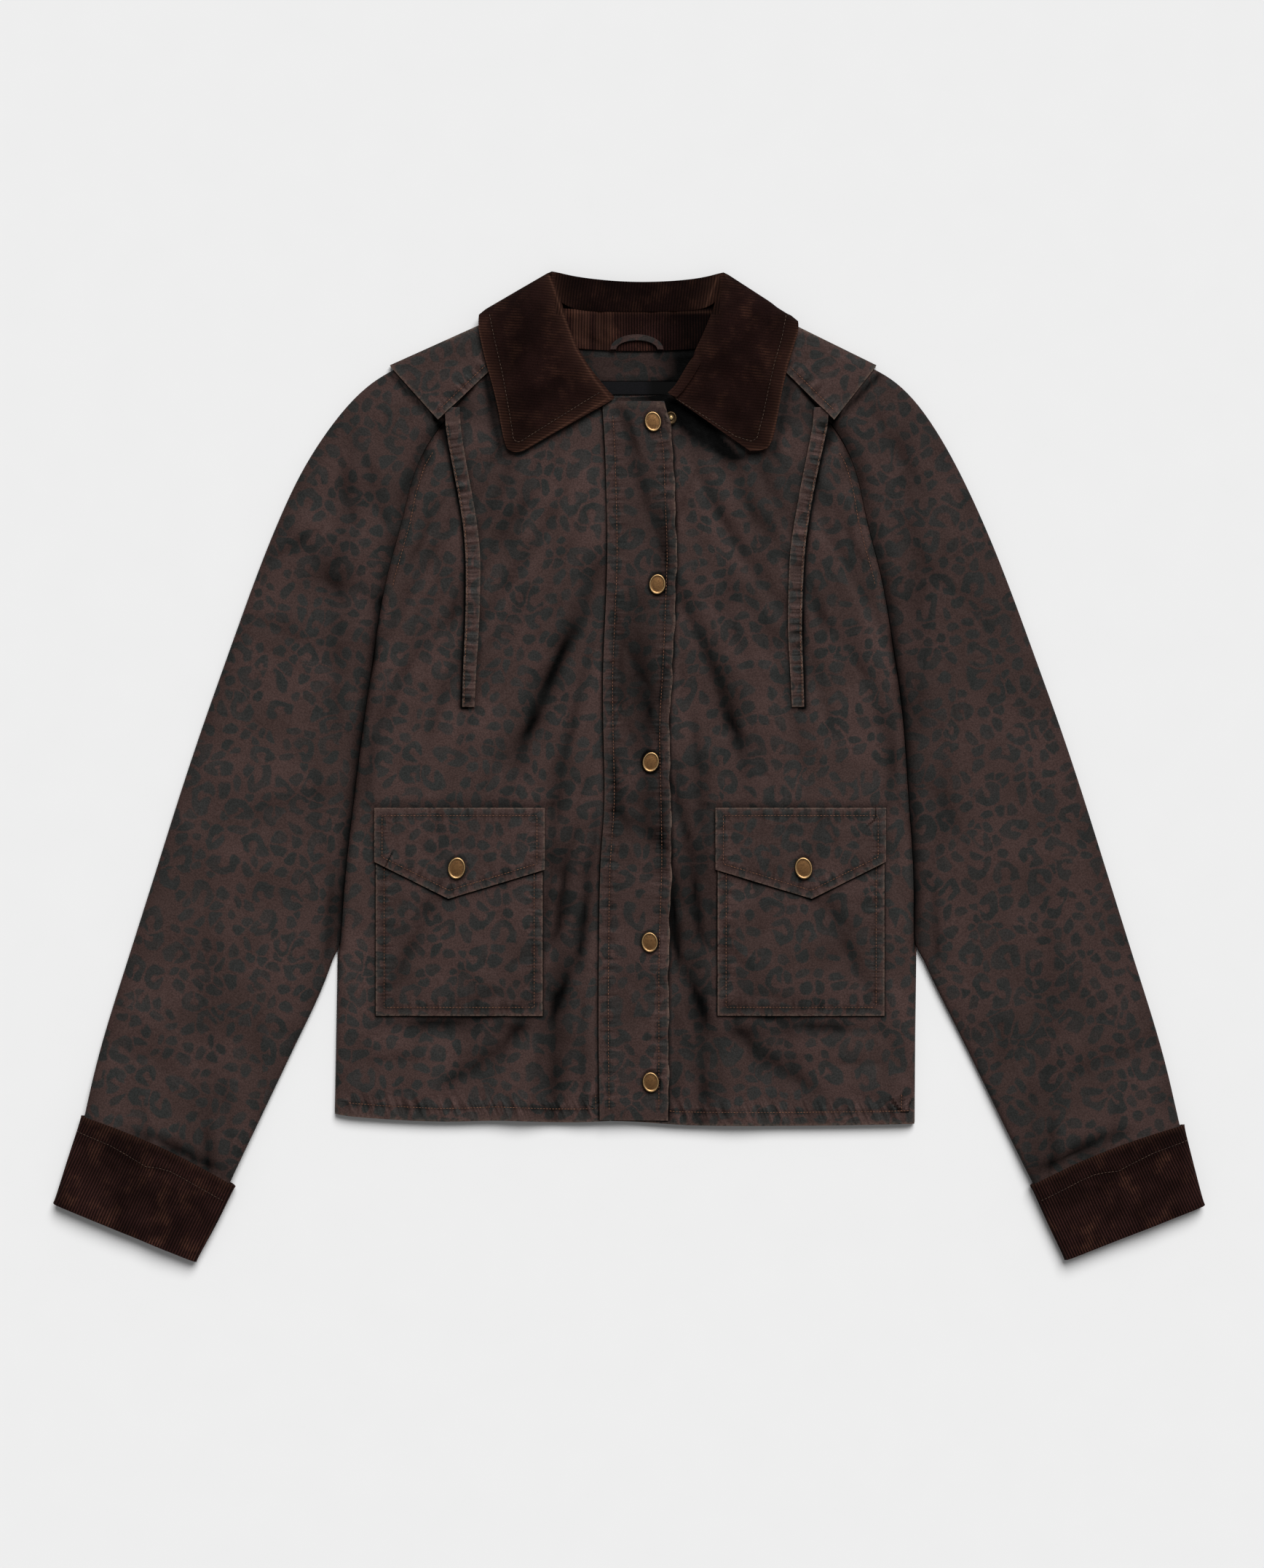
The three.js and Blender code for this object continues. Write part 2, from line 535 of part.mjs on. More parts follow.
function sleeve(side) {
  const cuffFloor = CORDUROY + EASE;
  const underarm = UNDERARM / (SLEEVE.length - 1);
  const joined = steps(16).map((t) => t * (underarm - 0.01));
  const free = steps(9).map((t) => mix(underarm, 1, t));
  const ring = (t, inset) => {
    const { inner, outer } = sleeveEdges(side, t);
    const way = (t - SLEEVE_LIFT.from) / (SLEEVE_LIFT.to - SLEEVE_LIFT.from);
    const climb = Math.min(Math.max(way, 0), 1);
    const floor = cuffFloor * climb * climb * (3 - 2 * climb);
    const points = flatRing(inner, outer, floor, SLEEVE_HEIGHT, inset, SLEEVE_FOLDS);
    return side > 0 ? points : points.reverse();
  };
  const outside = [...joined, ...free].map((t) => ring(t, 0));
  const inside = [...joined, ...free].map((t) => ring(t, BODY_CLOTH));
  return wall(outside, inside, true);
}

function cuff(side) {
  const rows = CUFF[SIDE_NAMES[side]];
  const at = (t, inset) => {
    const low = mix(rows[0].inY, rows[2].inY, t);
    const inner = [side * column(rows, "inX", low, "inY"), low];
    const outer = [side * column(rows, "outX", low, "inY"), column(rows, "outY", low, "inY")];
    const width = Math.hypot(outer[0] - inner[0], outer[1] - inner[1]);
    const points = flatRing(inner, outer, 0, CUFF_HEIGHT, inset, []).map(([x, y, z]) => {
      const share = Math.min(Math.hypot(x - inner[0], y - inner[1]) / width, 1);
      const bow = (CUFF_BOW * (1 - t) ** 2 * Math.sin(Math.PI * share)) / width;
      return [x - side * bow * (outer[1] - inner[1]), y + side * bow * (outer[0] - inner[0]), z];
    });
    return side > 0 ? points : points.reverse();
  };
  const outside = steps(4).map((t) => at(t, 0));
  const inside = steps(4).map((t) => at(t, CORDUROY));
  return wall(outside, inside, true);
}

function patch(corners, across, up) {
  const [a, b, c, d] = corners;
  return steps(up).map((v) =>
    steps(across).map((u) => [0, 1].map((k) => mix(mix(a[k], b[k], u), mix(d[k], c[k], u), v))),
  );
}

function shoulderFlap(side, surface) {
  const { shoulder, neckTop, neckBottom, chest } = SHOULDER_FLAP;
  const [outerTop, innerTop, innerLow, outerLow] = [shoulder, neckTop, neckBottom, chest].map((p) =>
    onSide(side, p),
  );
  const overShoulder = [
    { share: 0, drop: 0, out: 0 },
    { share: 0.2, drop: 0, out: 0 },
    { share: 0.4, drop: 0, out: 0 },
    { share: 0.6, drop: 0, out: 0 },
    { share: 0.8, drop: 0, out: 0 },
    { share: 0.94, drop: 0.3, out: 0 },
    { share: 0.99, drop: 1.6, out: 0.1 },
    { share: 1, drop: 4, out: 0.6 },
    { share: 1, drop: 7, out: 0.6 },
  ];
  const middle = overShoulder.map(({ share, drop, out }) =>
    steps(8).map((u) => {
      const low = [mix(outerLow[0], innerLow[0], u), mix(outerLow[1], innerLow[1], u)];
      const top = [mix(outerTop[0], innerTop[0], u), mix(outerTop[1], innerTop[1], u)];
      const [x, y] = [mix(low[0], top[0], share), mix(low[1], top[1], share)];
      const seat = Math.max(restingOn(surface, x, y, 7), SLEEVE_HEIGHT + SEAM_GAP);
      return [x, y + out, seat + TRIM_CLOTH / 2 - drop];
    }),
  );
  return bentSheet(side > 0 ? middle.map((row) => row.reverse()) : middle, TRIM_CLOTH);
}

function chestStrip(side, surface) {
  const plan = CHEST_STRIP.flatMap((row, i) => {
    const next = CHEST_STRIP[i + 1];
    return next ? [row.y, (row.y + next.y) / 2] : [row.y];
  }).map((y) => {
    const shift = column(CHEST_STRIP, "shift", y);
    const outer = column(CHEST_STRIP, "outer", y);
    const width = column(CHEST_STRIP, "width", y);
    const row = [0, 0.5, 1].map((t) => [shift + side * (outer - width * t), y]);
    return side < 0 ? row : row.reverse();
  });
  return sheet(plan, (x, y) => restingOn(surface, x, y), TRIM_CLOTH);
}

const mirrored = (side, x) => side * x + 0.5;

function pocketPlan(side) {
  const { inner, outer, top, bottom } = POCKET;
  const left = mirrored(side, side < 0 ? outer : inner);
  const right = mirrored(side, side < 0 ? inner : outer);
  return patch(
    [
      [left, bottom],
      [right, bottom],
      [right, top],
      [left, top],
    ],
    9,
    10,
  );
}

// The patch pocket bows up between its sewn edges.
function pocket(side, surface) {
  const { inner, outer, bottom, top, loft } = POCKET;
  const bow = (t) => Math.sqrt(Math.max(0, 1 - (2 * Math.min(Math.max(t, 0), 1) - 1) ** 4));
  const under = (x, y) => {
    const u = (Math.abs(x - 0.5) - inner) / (outer - inner);
    const v = (y - bottom) / (top - bottom);
    return restingOn(surface, x, y, 9) + loft * bow(u) * bow(v);
  };
  return sheet(pocketPlan(side), under, TRIM_CLOTH);
}

function pocketFlapPlan(side) {
  const f = POCKET_FLAP;
  const width = f.outer - f.inner;
  const point = (f.pointX - f.inner) / width;
  const shares = [0, 0.1, 0.25, 0.42, point, 0.7, 0.85, 0.94, 1].sort((a, b) => a - b);
  const columns = shares.map((u) => {
    const inwards = mix(f.innerBottom, f.pointY, u / point);
    const outwards = mix(f.pointY, f.outerBottom, (u - point) / (1 - point));
    return { x: mirrored(side, mix(f.inner, f.outer, u)), low: u <= point ? inwards : outwards };
  });
  const ordered = side > 0 ? columns : columns.reverse();
  return steps(6).map((v) => ordered.map(({ x, low }) => [x, mix(low, f.top, v)]));
}

const pocketFlap = (side, surface) =>
  sheet(pocketFlapPlan(side), (x, y) => restingOn(surface, x, y, 9), TRIM_CLOTH);

// ---- Collar, stand and the inside of the neck ------------------------------------------------
function collar() {
  const keys = ["foldX", "foldY", "edgeX", "edgeY", "foldZ", "edgeZ", "turn", "inside"];
  const rows = COLLAR.map((row, i) => ({ ...row, i }));
  const count = 40;
  const middle = steps(count).map((t) => {
    const at = t * (COLLAR.length - 1);
    const s = Object.fromEntries(keys.map((key) => [key, column(rows, key, at, "i")]));
    const length = Math.hypot(s.edgeX - s.foldX, s.edgeY - s.foldY);
    const ux = (s.edgeX - s.foldX) / length;
    const uy = (s.edgeY - s.foldY) / length;
    const turn = (s.turn * Math.PI) / 180;
    const [ix, iy] = [Math.cos(turn), Math.sin(turn)];
    // 1 where the fall lies on top of the turned-in side, -1 where it lies under it.
    const fallOnTop = s.edgeZ > s.foldZ - 2.5 && s.foldZ > 9.5 ? 1 : -1;
    const over = fallOnTop * Math.min(1, Math.abs(s.foldZ - 9) / 3);
    const roll = COLLAR_ROLL;
    const inset = CORDUROY / 2;
    const insideZ = over < 0 ? s.foldZ + roll * 0.3 : s.foldZ - 2 * roll;
    const section = [];
    for (const share of [1, 0.5]) {
      section.push([
        s.foldX + ix * (s.inside * share + inset),
        s.foldY + iy * (s.inside * share + inset),
        mix(s.foldZ - roll * over, insideZ, share) + (over < 0 ? 1.2 * (1 - share) : 0),
      ]);
    }
    section.push([
      s.foldX + (ix + ux) * inset * 0.6,
      s.foldY + (iy + uy) * inset * 0.6,
      s.foldZ - roll * over,
    ]);
    for (const share of [0.06, 0.2, 0.4, 0.6, 0.8, 0.93, 1]) {
      const reach = inset + (length - inset) * share;
      const arch = over > 0 ? COLLAR_ARCH * Math.sin(Math.PI * share) * over : 0;
      const level = mix(s.foldZ + (over > 0 ? 0 : -roll * 1.2), s.edgeZ, Math.min(1, share * 1.6));
      section.push([s.foldX + ux * reach, s.foldY + uy * reach, level + arch]);
    }
    return section;
  });
  return bentSheet(middle, CORDUROY);
}

function stand() {
  const plan = [
    { v: 0, z: STAND.bottomZ },
    { v: 0.35, z: STAND.crownZ },
    { v: 0.7, z: mix(STAND.crownZ, STAND.topZ, 0.45) },
    { v: 1, z: STAND.topZ },
  ];
  const middle = plan.map(({ v, z }) =>
    steps(12).map((u) => {
      const x = mix(STAND.right, STAND.left, u);
      const bow = (2 * u - 1) ** 2;
      return [x, mix(STAND.bottom + 4 * bow, STAND.top + 2.2 * bow, v), z];
    }),
  );
  return bentSheet(middle, CORDUROY * 0.9);
}

// A strip across the inside of the back of the neck, between the two front neck edges.
function neckStrip(bottom, top, bow, up) {
  return steps(up).map((v) => {
    const y = mix(bottom, top, v);
    const right = column(NECK.right, "x", y) + 2;
    const left = column(NECK.left, "x", y) - 2;
    return steps(10).map((u) => [mix(right, left, u), y + bow * v * (2 * u - 1) ** 2]);
  });
}

function facing() {
  const { top, bottom, climb } = FACING;
  const under = (x, y) => FRONT_FLOOR + climb * Math.max(0, (y - bottom) / (top - bottom)) ** 2;
  return sheet(neckStrip(bottom, top, 2, 4), under, TRIM_CLOTH);
}

const liningPanel = () =>
  sheet(neckStrip(LINING_PANEL.bottom, LINING_PANEL.top, 0, 2), () => FRONT_FLOOR, LINING);

function hangerLoop() {
  const { centre, halfSpan, footY, rise, width } = LOOP;
  const level = STAND.crownZ + CORDUROY / 2 + SEAM_GAP + TRIM_CLOTH / 2;
  const middle = steps(14).map((t) => {
    const angle = Math.PI * (1 - t);
    const [c, s] = [Math.cos(angle), Math.sin(angle)];
    return [0, 0.5, 1].map((w) => {
      const out = width * w;
      return [centre + (halfSpan - width + out) * c, footY + (rise - width + out) * s, level + 0.4 * s];
    });
  });
  return bentSheet(middle.map((row) => row.reverse()), TRIM_CLOTH);
}

// ---- Snaps -----------------------------------------------------------------------------------
function snapCap({ across, tall, height }, turn) {
  const radius = tall / 2;
  const profile = [
    [0, 0],
    [radius * 0.9, 0],
    [radius, height * 0.3],
    [radius, height * 0.62],
    [radius * 0.9, height],
    [radius * 0.74, height * 0.88],
    [0, height * 0.96],
  ];
  const points = profile.map(([r, z]) => new THREE.Vector2(r, z));
  const round = new THREE.LatheGeometry(points, 16).rotateX(Math.PI / 2);
  return round.scale(across / tall, 1, 1).rotateZ(THREE.MathUtils.degToRad(turn));
}

// ---- Assembly --------------------------------------------------------------------------------
const waxedCotton = new THREE.MeshStandardMaterial({ color: 0x3f3330, roughness: 0.62, metalness: 0 });
const corduroy = new THREE.MeshStandardMaterial({ color: 0x2c1a14, roughness: 0.95, metalness: 0 });
const liningCloth = new THREE.MeshStandardMaterial({ color: 0x1b1d23, roughness: 0.8, metalness: 0 });
const brass = new THREE.MeshStandardMaterial({ color: 0x8a6a3c, roughness: 0.4, metalness: 1 });

const jacket = new THREE.Group();

function add(name, geometry, material, position = [0, 0, 0]) {
  const mesh = new THREE.Mesh(geometry, material);
  mesh.name = name;
  mesh.position.set(...position);
  jacket.add(mesh);
  return mesh;
}

add("back", backPanel(), waxedCotton);
const fronts = [-1, 1].map((side) => add(`front_${SIDE_NAMES[side]}`, frontPanel(side), waxedCotton));
const frontTop = topOf(...fronts.map((mesh) => mesh.geometry));

const fly = add("storm_fly", stormFly(frontTop), waxedCotton);
const flyTop = topOf(fly.geometry);
FLY_SNAPS.forEach(({ x, y, turn }, i) => {
  const seat = restingOn(flyTop, x, y, FLY_CAP.tall / 2);
  add(`fly_snap_${i + 1}`, snapCap(FLY_CAP, turn), brass, [x, y, seat]);
});

// The bottom half of the top snap stays on the wearer's left front, beside the fly's free edge.
const studSeat = restingOn(topOf(fronts[1].geometry, fly.geometry), STUD.x, STUD.y, STUD_RING.tall / 2);
add("neck_stud", snapCap(STUD_RING, STUD.turn), brass, [STUD.x, STUD.y, studSeat]);

for (const side of [-1, 1]) {
  const name = SIDE_NAMES[side];
  const arm = add(`sleeve_${name}`, sleeve(side), waxedCotton);
  add(`cuff_${name}`, cuff(side), corduroy);
  const strip = add(`chest_strip_${name}`, chestStrip(side, frontTop), waxedCotton);
  const shoulder = topOf(...fronts.map((mesh) => mesh.geometry), arm.geometry, strip.geometry);
  add(`shoulder_flap_${name}`, shoulderFlap(side, shoulder), waxedCotton);
  const bag = add(`pocket_${name}`, pocket(side, frontTop), waxedCotton);
  const overPocket = topOf(...fronts.map((mesh) => mesh.geometry), bag.geometry);
  const flap = add(`pocket_flap_${name}`, pocketFlap(side, overPocket), waxedCotton);
  const x = mirrored(side, POCKET_SNAP.x);
  const seat = restingOn(topOf(flap.geometry), x, POCKET_SNAP.y, POCKET_CAP.tall / 2);
  const cap = snapCap(POCKET_CAP, side * POCKET_SNAP.turn);
  add(`pocket_snap_${name}`, cap, brass, [x, POCKET_SNAP.y, seat]);
}

add("neck_facing", facing(), waxedCotton);
add("neck_lining", liningPanel(), liningCloth);
add("collar_stand", stand(), corduroy);
add("collar", collar(), corduroy);
add("hanger_loop", hangerLoop(), waxedCotton);

// The origin is the middle of the jacket's box, on the surface that it lies on.
const box = new THREE.Box3().setFromObject(jacket);
const middle = box.getCenter(new THREE.Vector3());
jacket.position.set(-middle.x, -middle.y, -box.min.z);

export default jacket;
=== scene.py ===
# %% [markdown]
# # A waxed cotton jacket, laid flat
#
# The jacket lies on its back with the front snapped shut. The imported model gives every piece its
# place and its main folds. Here each piece becomes a thin closed shell with rounded rims, finer
# creases, sewing and cloth. Sizes in the tables are millimetres, in the jacket's own frame: X to
# the wearer's left, Y from hem to collar, Z up from the table.

import math
from contextlib import contextmanager

import bmesh
import bpy
import numpy as np
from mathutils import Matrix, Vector
from mathutils.bvhtree import BVHTree


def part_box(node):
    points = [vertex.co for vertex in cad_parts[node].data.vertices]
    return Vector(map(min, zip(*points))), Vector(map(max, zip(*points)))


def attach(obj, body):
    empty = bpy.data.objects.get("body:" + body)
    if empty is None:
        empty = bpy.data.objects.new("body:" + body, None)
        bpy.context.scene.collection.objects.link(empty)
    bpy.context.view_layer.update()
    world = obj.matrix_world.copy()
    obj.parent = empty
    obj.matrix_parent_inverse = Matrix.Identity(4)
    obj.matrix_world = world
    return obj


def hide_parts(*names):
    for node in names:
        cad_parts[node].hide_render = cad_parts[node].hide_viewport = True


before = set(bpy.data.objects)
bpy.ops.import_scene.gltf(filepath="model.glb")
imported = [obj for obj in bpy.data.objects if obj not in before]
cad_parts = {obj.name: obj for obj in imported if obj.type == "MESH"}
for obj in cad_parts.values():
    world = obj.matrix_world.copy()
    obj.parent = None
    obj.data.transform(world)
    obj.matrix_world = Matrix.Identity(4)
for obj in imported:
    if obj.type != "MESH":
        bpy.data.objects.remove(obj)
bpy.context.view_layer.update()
MM = 0.001
print("pieces in the packed model:", len(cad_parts))

# %% [markdown]
# ## Colour and shader helpers
#
# Colours are written as sRGB hex, the way a dye swatch is, and turned to linear in one place.
# `add` makes a shader node in the material that is being written; `fill` sets a node's inputs, by
# name or by number, to a number, a colour or a socket.


# %%
writing = {}  # "tree": the node tree of the material that is being written


def linear(swatch):
    channels = [int(swatch[i : i + 2], 16) / 255 for i in (1, 3, 5)]
    return (*[c / 12.92 if c <= 0.04045 else ((c + 0.055) / 1.055) ** 2.4 for c in channels], 1.0)


def fill(node, **inputs):
    for key, value in inputs.items():
        number = key[1:]
        socket = node.inputs[int(number) if number.isdigit() else key.replace("_", " ")]
        if isinstance(value, bpy.types.NodeSocket):
            writing["tree"].links.new(value, socket)
        else:
            socket.default_value = value


def add(kind, settings=None, **inputs):
    made = writing["tree"].nodes.new("ShaderNode" + kind)
    for key, value in (settings or {}).items():
        setattr(made, key, value)
    fill(made, **inputs)
    return made


def calc(operation, a, b=0.0, c=0.0, clamp=False):
    return add("Math", {"operation": operation, "use_clamp": clamp}, i0=a, i1=b, i2=c).outputs[0]


def times(a, b, clamp=False):
    return calc("MULTIPLY", a, b, clamp=clamp)


def times_plus(a, b, c, clamp=False):
    return calc("MULTIPLY_ADD", a, b, c, clamp)


def minus(a, b, clamp=False):
    return calc("SUBTRACT", a, b, clamp=clamp)


def vector_calc(operation, a, b=(0, 0, 0), scale=1.0):
    made = add("VectorMath", {"operation": operation}, i0=a, i1=b, i3=scale)
    return made.outputs[1 if operation == "LENGTH" else 0]


def ramp(value, low, high, to_low=0.0, to_high=1.0):
    settings = {"interpolation_type": "SMOOTHSTEP"}
    return add("MapRange", settings, i0=value, i1=low, i2=high, i3=to_low, i4=to_high).outputs[0]


def mixed(share, a, b):
    return add("Mix", {"data_type": "RGBA"}, i0=share, i6=a, i7=b).outputs[2]


def millimetres(shift=(0, 0), turn=0.0):
    place = add("TexCoord").outputs["Object"]
    shift = (shift[0] * MM, shift[1] * MM, 0)
    moved = add("Mapping", Vector=place, Location=shift, Rotation=(0, 0, math.radians(turn)))
    return vector_calc("SCALE", moved.outputs[0], scale=1 / MM)


def noise(where, size, detail=2.0, rough=0.5, dims="3D", out="Fac"):
    """A noise whose grains are about size millimetres wide."""
    settings = {"noise_dimensions": dims}
    made = add("TexNoise", settings, Vector=where, Scale=1 / size, Detail=detail, Roughness=rough)
    return made.outputs[out]


def attribute(name):
    return add("Attribute", {"attribute_name": name}).outputs["Fac"]


def bumped(height, strength, **under):
    """A bump of heights in millimetres, on the one given as Normal."""
    return add("Bump", Height=height, Strength=strength, Distance=MM, **under).outputs[0]


def new_material(name):
    material = bpy.data.materials.new(name)
    material.use_nodes = True
    writing["tree"] = material.node_tree
    material.node_tree.nodes.clear()
    shader = add("BsdfPrincipled")
    add("OutputMaterial", Surface=shader.outputs[0])
    return material, shader


print("helpers ready")

# %% [markdown]
# ## Waxed cotton with a tonal leopard print
#
# Charcoal marks on brown, of two kinds. Large cells of a wandered plane hold rosettes: oval rings,
# open on one side. Smaller cells hold plain ovals, wherever no rosette is near. Both are measured
# in millimetres from their own outline, so that a smooth minimum can round them off against their
# neighbours. Four values come from the mesh: `pucker` and `run` draw the gathers along a row of
# stitches; a third pales the edges, as wear where the wax has rubbed off and in part as a painted
# highlight on folded rims, on the corduroy's pile and on the brass; the fourth is painted shade,
# which darkens the creases, the grooves beside stitches and the cloth beside and under other
# pieces.

# %%
GROUND = ("#40312e", "#392c29")
SPOT = ("#262726", "#2c2b2a")
RUBBED_AND_HIGHLIT = "#7a6559"
ROSETTES = (25.0, 0.8)  # mm from one to the next, and how loosely they are strewn
OVALS = (12.6, 0.55)
RING_RADIUS = 6.2  # mm, to the middle of a rosette's arm
BARE = 0.35  # the share of large cells without a rosette


def wander(place, size, reach):
    """The plane pushed about by reach millimetres, in waves about size millimetres long."""
    drift = noise(place, size, 1.0, dims="2D", out="Color")
    centred = vector_calc("SUBTRACT", drift, (0.5, 0.5, 0.5))
    return vector_calc("ADD", place, vector_calc("SCALE", centred, scale=2 * reach))


def strewn(place, cell, loose):
    """A point's place from the middle of its cell, the middle, the edge's distance, own numbers."""
    small = vector_calc("SCALE", place, scale=1 / cell)
    kinds = [{"voronoi_dimensions": "2D", "feature": kind} for kind in ("F1", "DISTANCE_TO_EDGE")]
    cells, rims = [
        add("TexVoronoi", kind, Vector=small, Scale=1.0, Randomness=loose) for kind in kinds
    ]
    own = add("SeparateColor", Color=cells.outputs["Color"]).outputs
    middle = cells.outputs["Position"]
    turn = times(own[0], 2 * math.pi)
    offset = vector_calc("SUBTRACT", small, middle)
    offset = add("VectorRotate", {"rotation_type": "Z_AXIS"}, Vector=offset, Angle=turn)
    offset = vector_calc("SCALE", offset.outputs[0], scale=cell)
    middle = vector_calc("SCALE", middle, scale=cell)
    return offset, middle, times(rims.outputs["Distance"], cell), own


def oval_distance(offset, own, empty):
    """Oval distance from a cell's middle; far away in the share of cells that stays empty."""
    oval = vector_calc("LENGTH", vector_calc("MULTIPLY", offset, (0.83, 1.17, 0)))
    return times_plus(calc("LESS_THAN", own[2], empty), 100.0, oval)


def within(first, *others):
    """The smooth minimum of distances inwards from several outlines."""
    for other in others:
        first = calc("SMOOTH_MIN", first, other, 2.4)
    return first


def leopard(place):
    """(how much of a point is printed, the mark's own random number)"""
    wandered = wander(wander(place, 34.0, 8.0), 7.0, 1.9)
    offset, _, edge, own = strewn(wandered, *ROSETTES)
    beyond = minus(oval_distance(offset, own, BARE), RING_RADIUS)
    arm = times_plus(own[1], 1.3, 2.7)
    sides = add("SeparateXYZ", Vector=offset).outputs
    mouth = times_plus(own[2], 4.8, -0.7)
    mouth = minus(calc("ABSOLUTE", sides[0]), mouth)
    mouth = calc("MAXIMUM", mouth, times(sides[1], -1.0))
    ring = minus(arm, calc("ABSOLUTE", beyond))
    ring = within(ring, minus(edge, 1.2), mouth)
    offset, middle, edge, small_own = strewn(wandered, *OVALS)
    rosette_offset, _, _, rosette_own = strewn(middle, *ROSETTES)
    far = oval_distance(rosette_offset, rosette_own, BARE)
    blocked = times(calc("LESS_THAN", far, 13.0), 50.0)
    radius = times_plus(small_own[1], 2.0, 3.5)
    oval = minus(radius, oval_distance(offset, small_own, 0.0))
    clear = minus(minus(beyond, arm), 1.4)
    oval = within(oval, minus(edge, 0.8), clear)
    inside = calc("MAXIMUM", ring, minus(oval, blocked))
    return ramp(inside, -1.1, 0.7), small_own[2]


def waxed_cotton(name, shift=(0, 0), turn=0.0, shade=1.0):
    material, shader = new_material(name)
    place = millimetres(shift, turn)
    blotch = noise(place, 48.0, 2.0)
    run = times_plus(blotch, 5.0, attribute("run"))
    along = add("CombineXYZ", X=run, Y=times(blotch, 9.0)).outputs[0]
    gather = noise(along, 5.2, 1.5, 0.55, "2D")
    gather = times(minus(gather, 0.5), attribute("pucker"))
    spot, own = leopard(place)
    ground = mixed(ramp(blotch, 0.35, 0.65), linear(GROUND[0]), linear(GROUND[1]))
    dark = mixed(own, linear(SPOT[0]), linear(SPOT[1]))
    faded = ramp(noise(place, 15.0, 3.0), 0.25, 0.6, 0.68, 1.0)
    print_colour = mixed(times(spot, faded), ground, dark)
    # a heathered yarn, with painted shade in the creases and painted light and shade across the
    # gathers
    grain = noise(place, 1.3, 3.0, 0.7)
    heather = ramp(grain, 0.3, 0.7, 0.7 * shade, 1.3 * shade)
    painted_shade = attribute("painted_shade")
    patchy = ramp(noise(place, 15.0, 3.0), 0.35, 0.62, 0.6, 1.05)
    depth = times_plus(minus(1.0, patchy), painted_shade, patchy)
    bright = minus(1.0, times(painted_shade, depth), clamp=True)
    bright = times(bright, times_plus(gather, 1.3, 1.0))
    toned = vector_calc("SCALE", print_colour, scale=times(heather, bright))
    # pale edges: wear, and in part a painted highlight on folded rims
    fray = noise(place, 2.4, 2.0)
    rubbed_and_highlighted = times(attribute("wear_and_highlight"), ramp(fray, 0.3, 0.6), clamp=True)
    fill(shader, Base_Color=mixed(rubbed_and_highlighted, toned, linear(RUBBED_AND_HIGHLIT)))
    # weave, wax crackle and gathers in relief
    waves = [
        add("TexWave", {"bands_direction": way}, Vector=place, Scale=0.32, Distortion=0.6)
        for way in "XY"
    ]
    threads = calc("ADD", waves[0].outputs["Fac"], waves[1].outputs["Fac"])
    crackle = noise(place, 7.5, 4.0, 0.6)
    normal = bumped(times(threads, 0.03), 0.5)
    normal = bumped(times(crackle, 0.9), 0.5, Normal=normal)
    normal = bumped(times(gather, 1.9), 1.0, Normal=normal)
    fill(shader, Normal=normal, Roughness=ramp(crackle, 0.3, 0.7, 0.5, 0.66))
    fill(shader, IOR=1.45, Specular_IOR_Level=0.05)
    return material


# The last number scales each piece's brightness. On the facing it is painted shade under the
# collar, on the fly painted shade of its folds, and on the left sleeve painted shade that offsets
# the stronger lamp light on that side.
COTTON = {
    "back": waxed_cotton("waxed cotton, back"),
    "front_right": waxed_cotton("waxed cotton, right front", (7, 31), 12, 1.15),
    "front_left": waxed_cotton("waxed cotton, left front", (260, -40), -9, 1.11),
    "sleeve_right": waxed_cotton("waxed cotton, right sleeve", (90, 400), 24, 1.07),
    "sleeve_left": waxed_cotton("waxed cotton, left sleeve", (-60, 310), -24, 0.98),
    "fly": waxed_cotton("waxed cotton, storm fly", (410, -120), 5, 0.95),
    "trims": waxed_cotton("waxed cotton, trims", (510, 120), 3, 1.06),
    "pockets": waxed_cotton("waxed cotton, pockets", (300, 233), -4, 1.03),
    "facing": waxed_cotton("waxed cotton, neck facing", (120, 90), 2, 0.7),
}
print("cotton materials:", len(COTTON))

# %% [markdown]
# ## Corduroy, lining, thread and brass
#
# Corduroy is a cut pile in parallel wales: round ridges with dark lines between them. The colour
# paints the light on the ridges and the shade in the lines. `turn` is the direction in which the
# wales run, in degrees from X.

# %%
PILE_LIT, PILE_DARK, PILE_CRUSHED, PILE_RUBBED_AND_HIGHLIT = "#221210", "#0a0504", "#3c251c", "#55392d"
WALE = 2.3  # mm from wale to wale


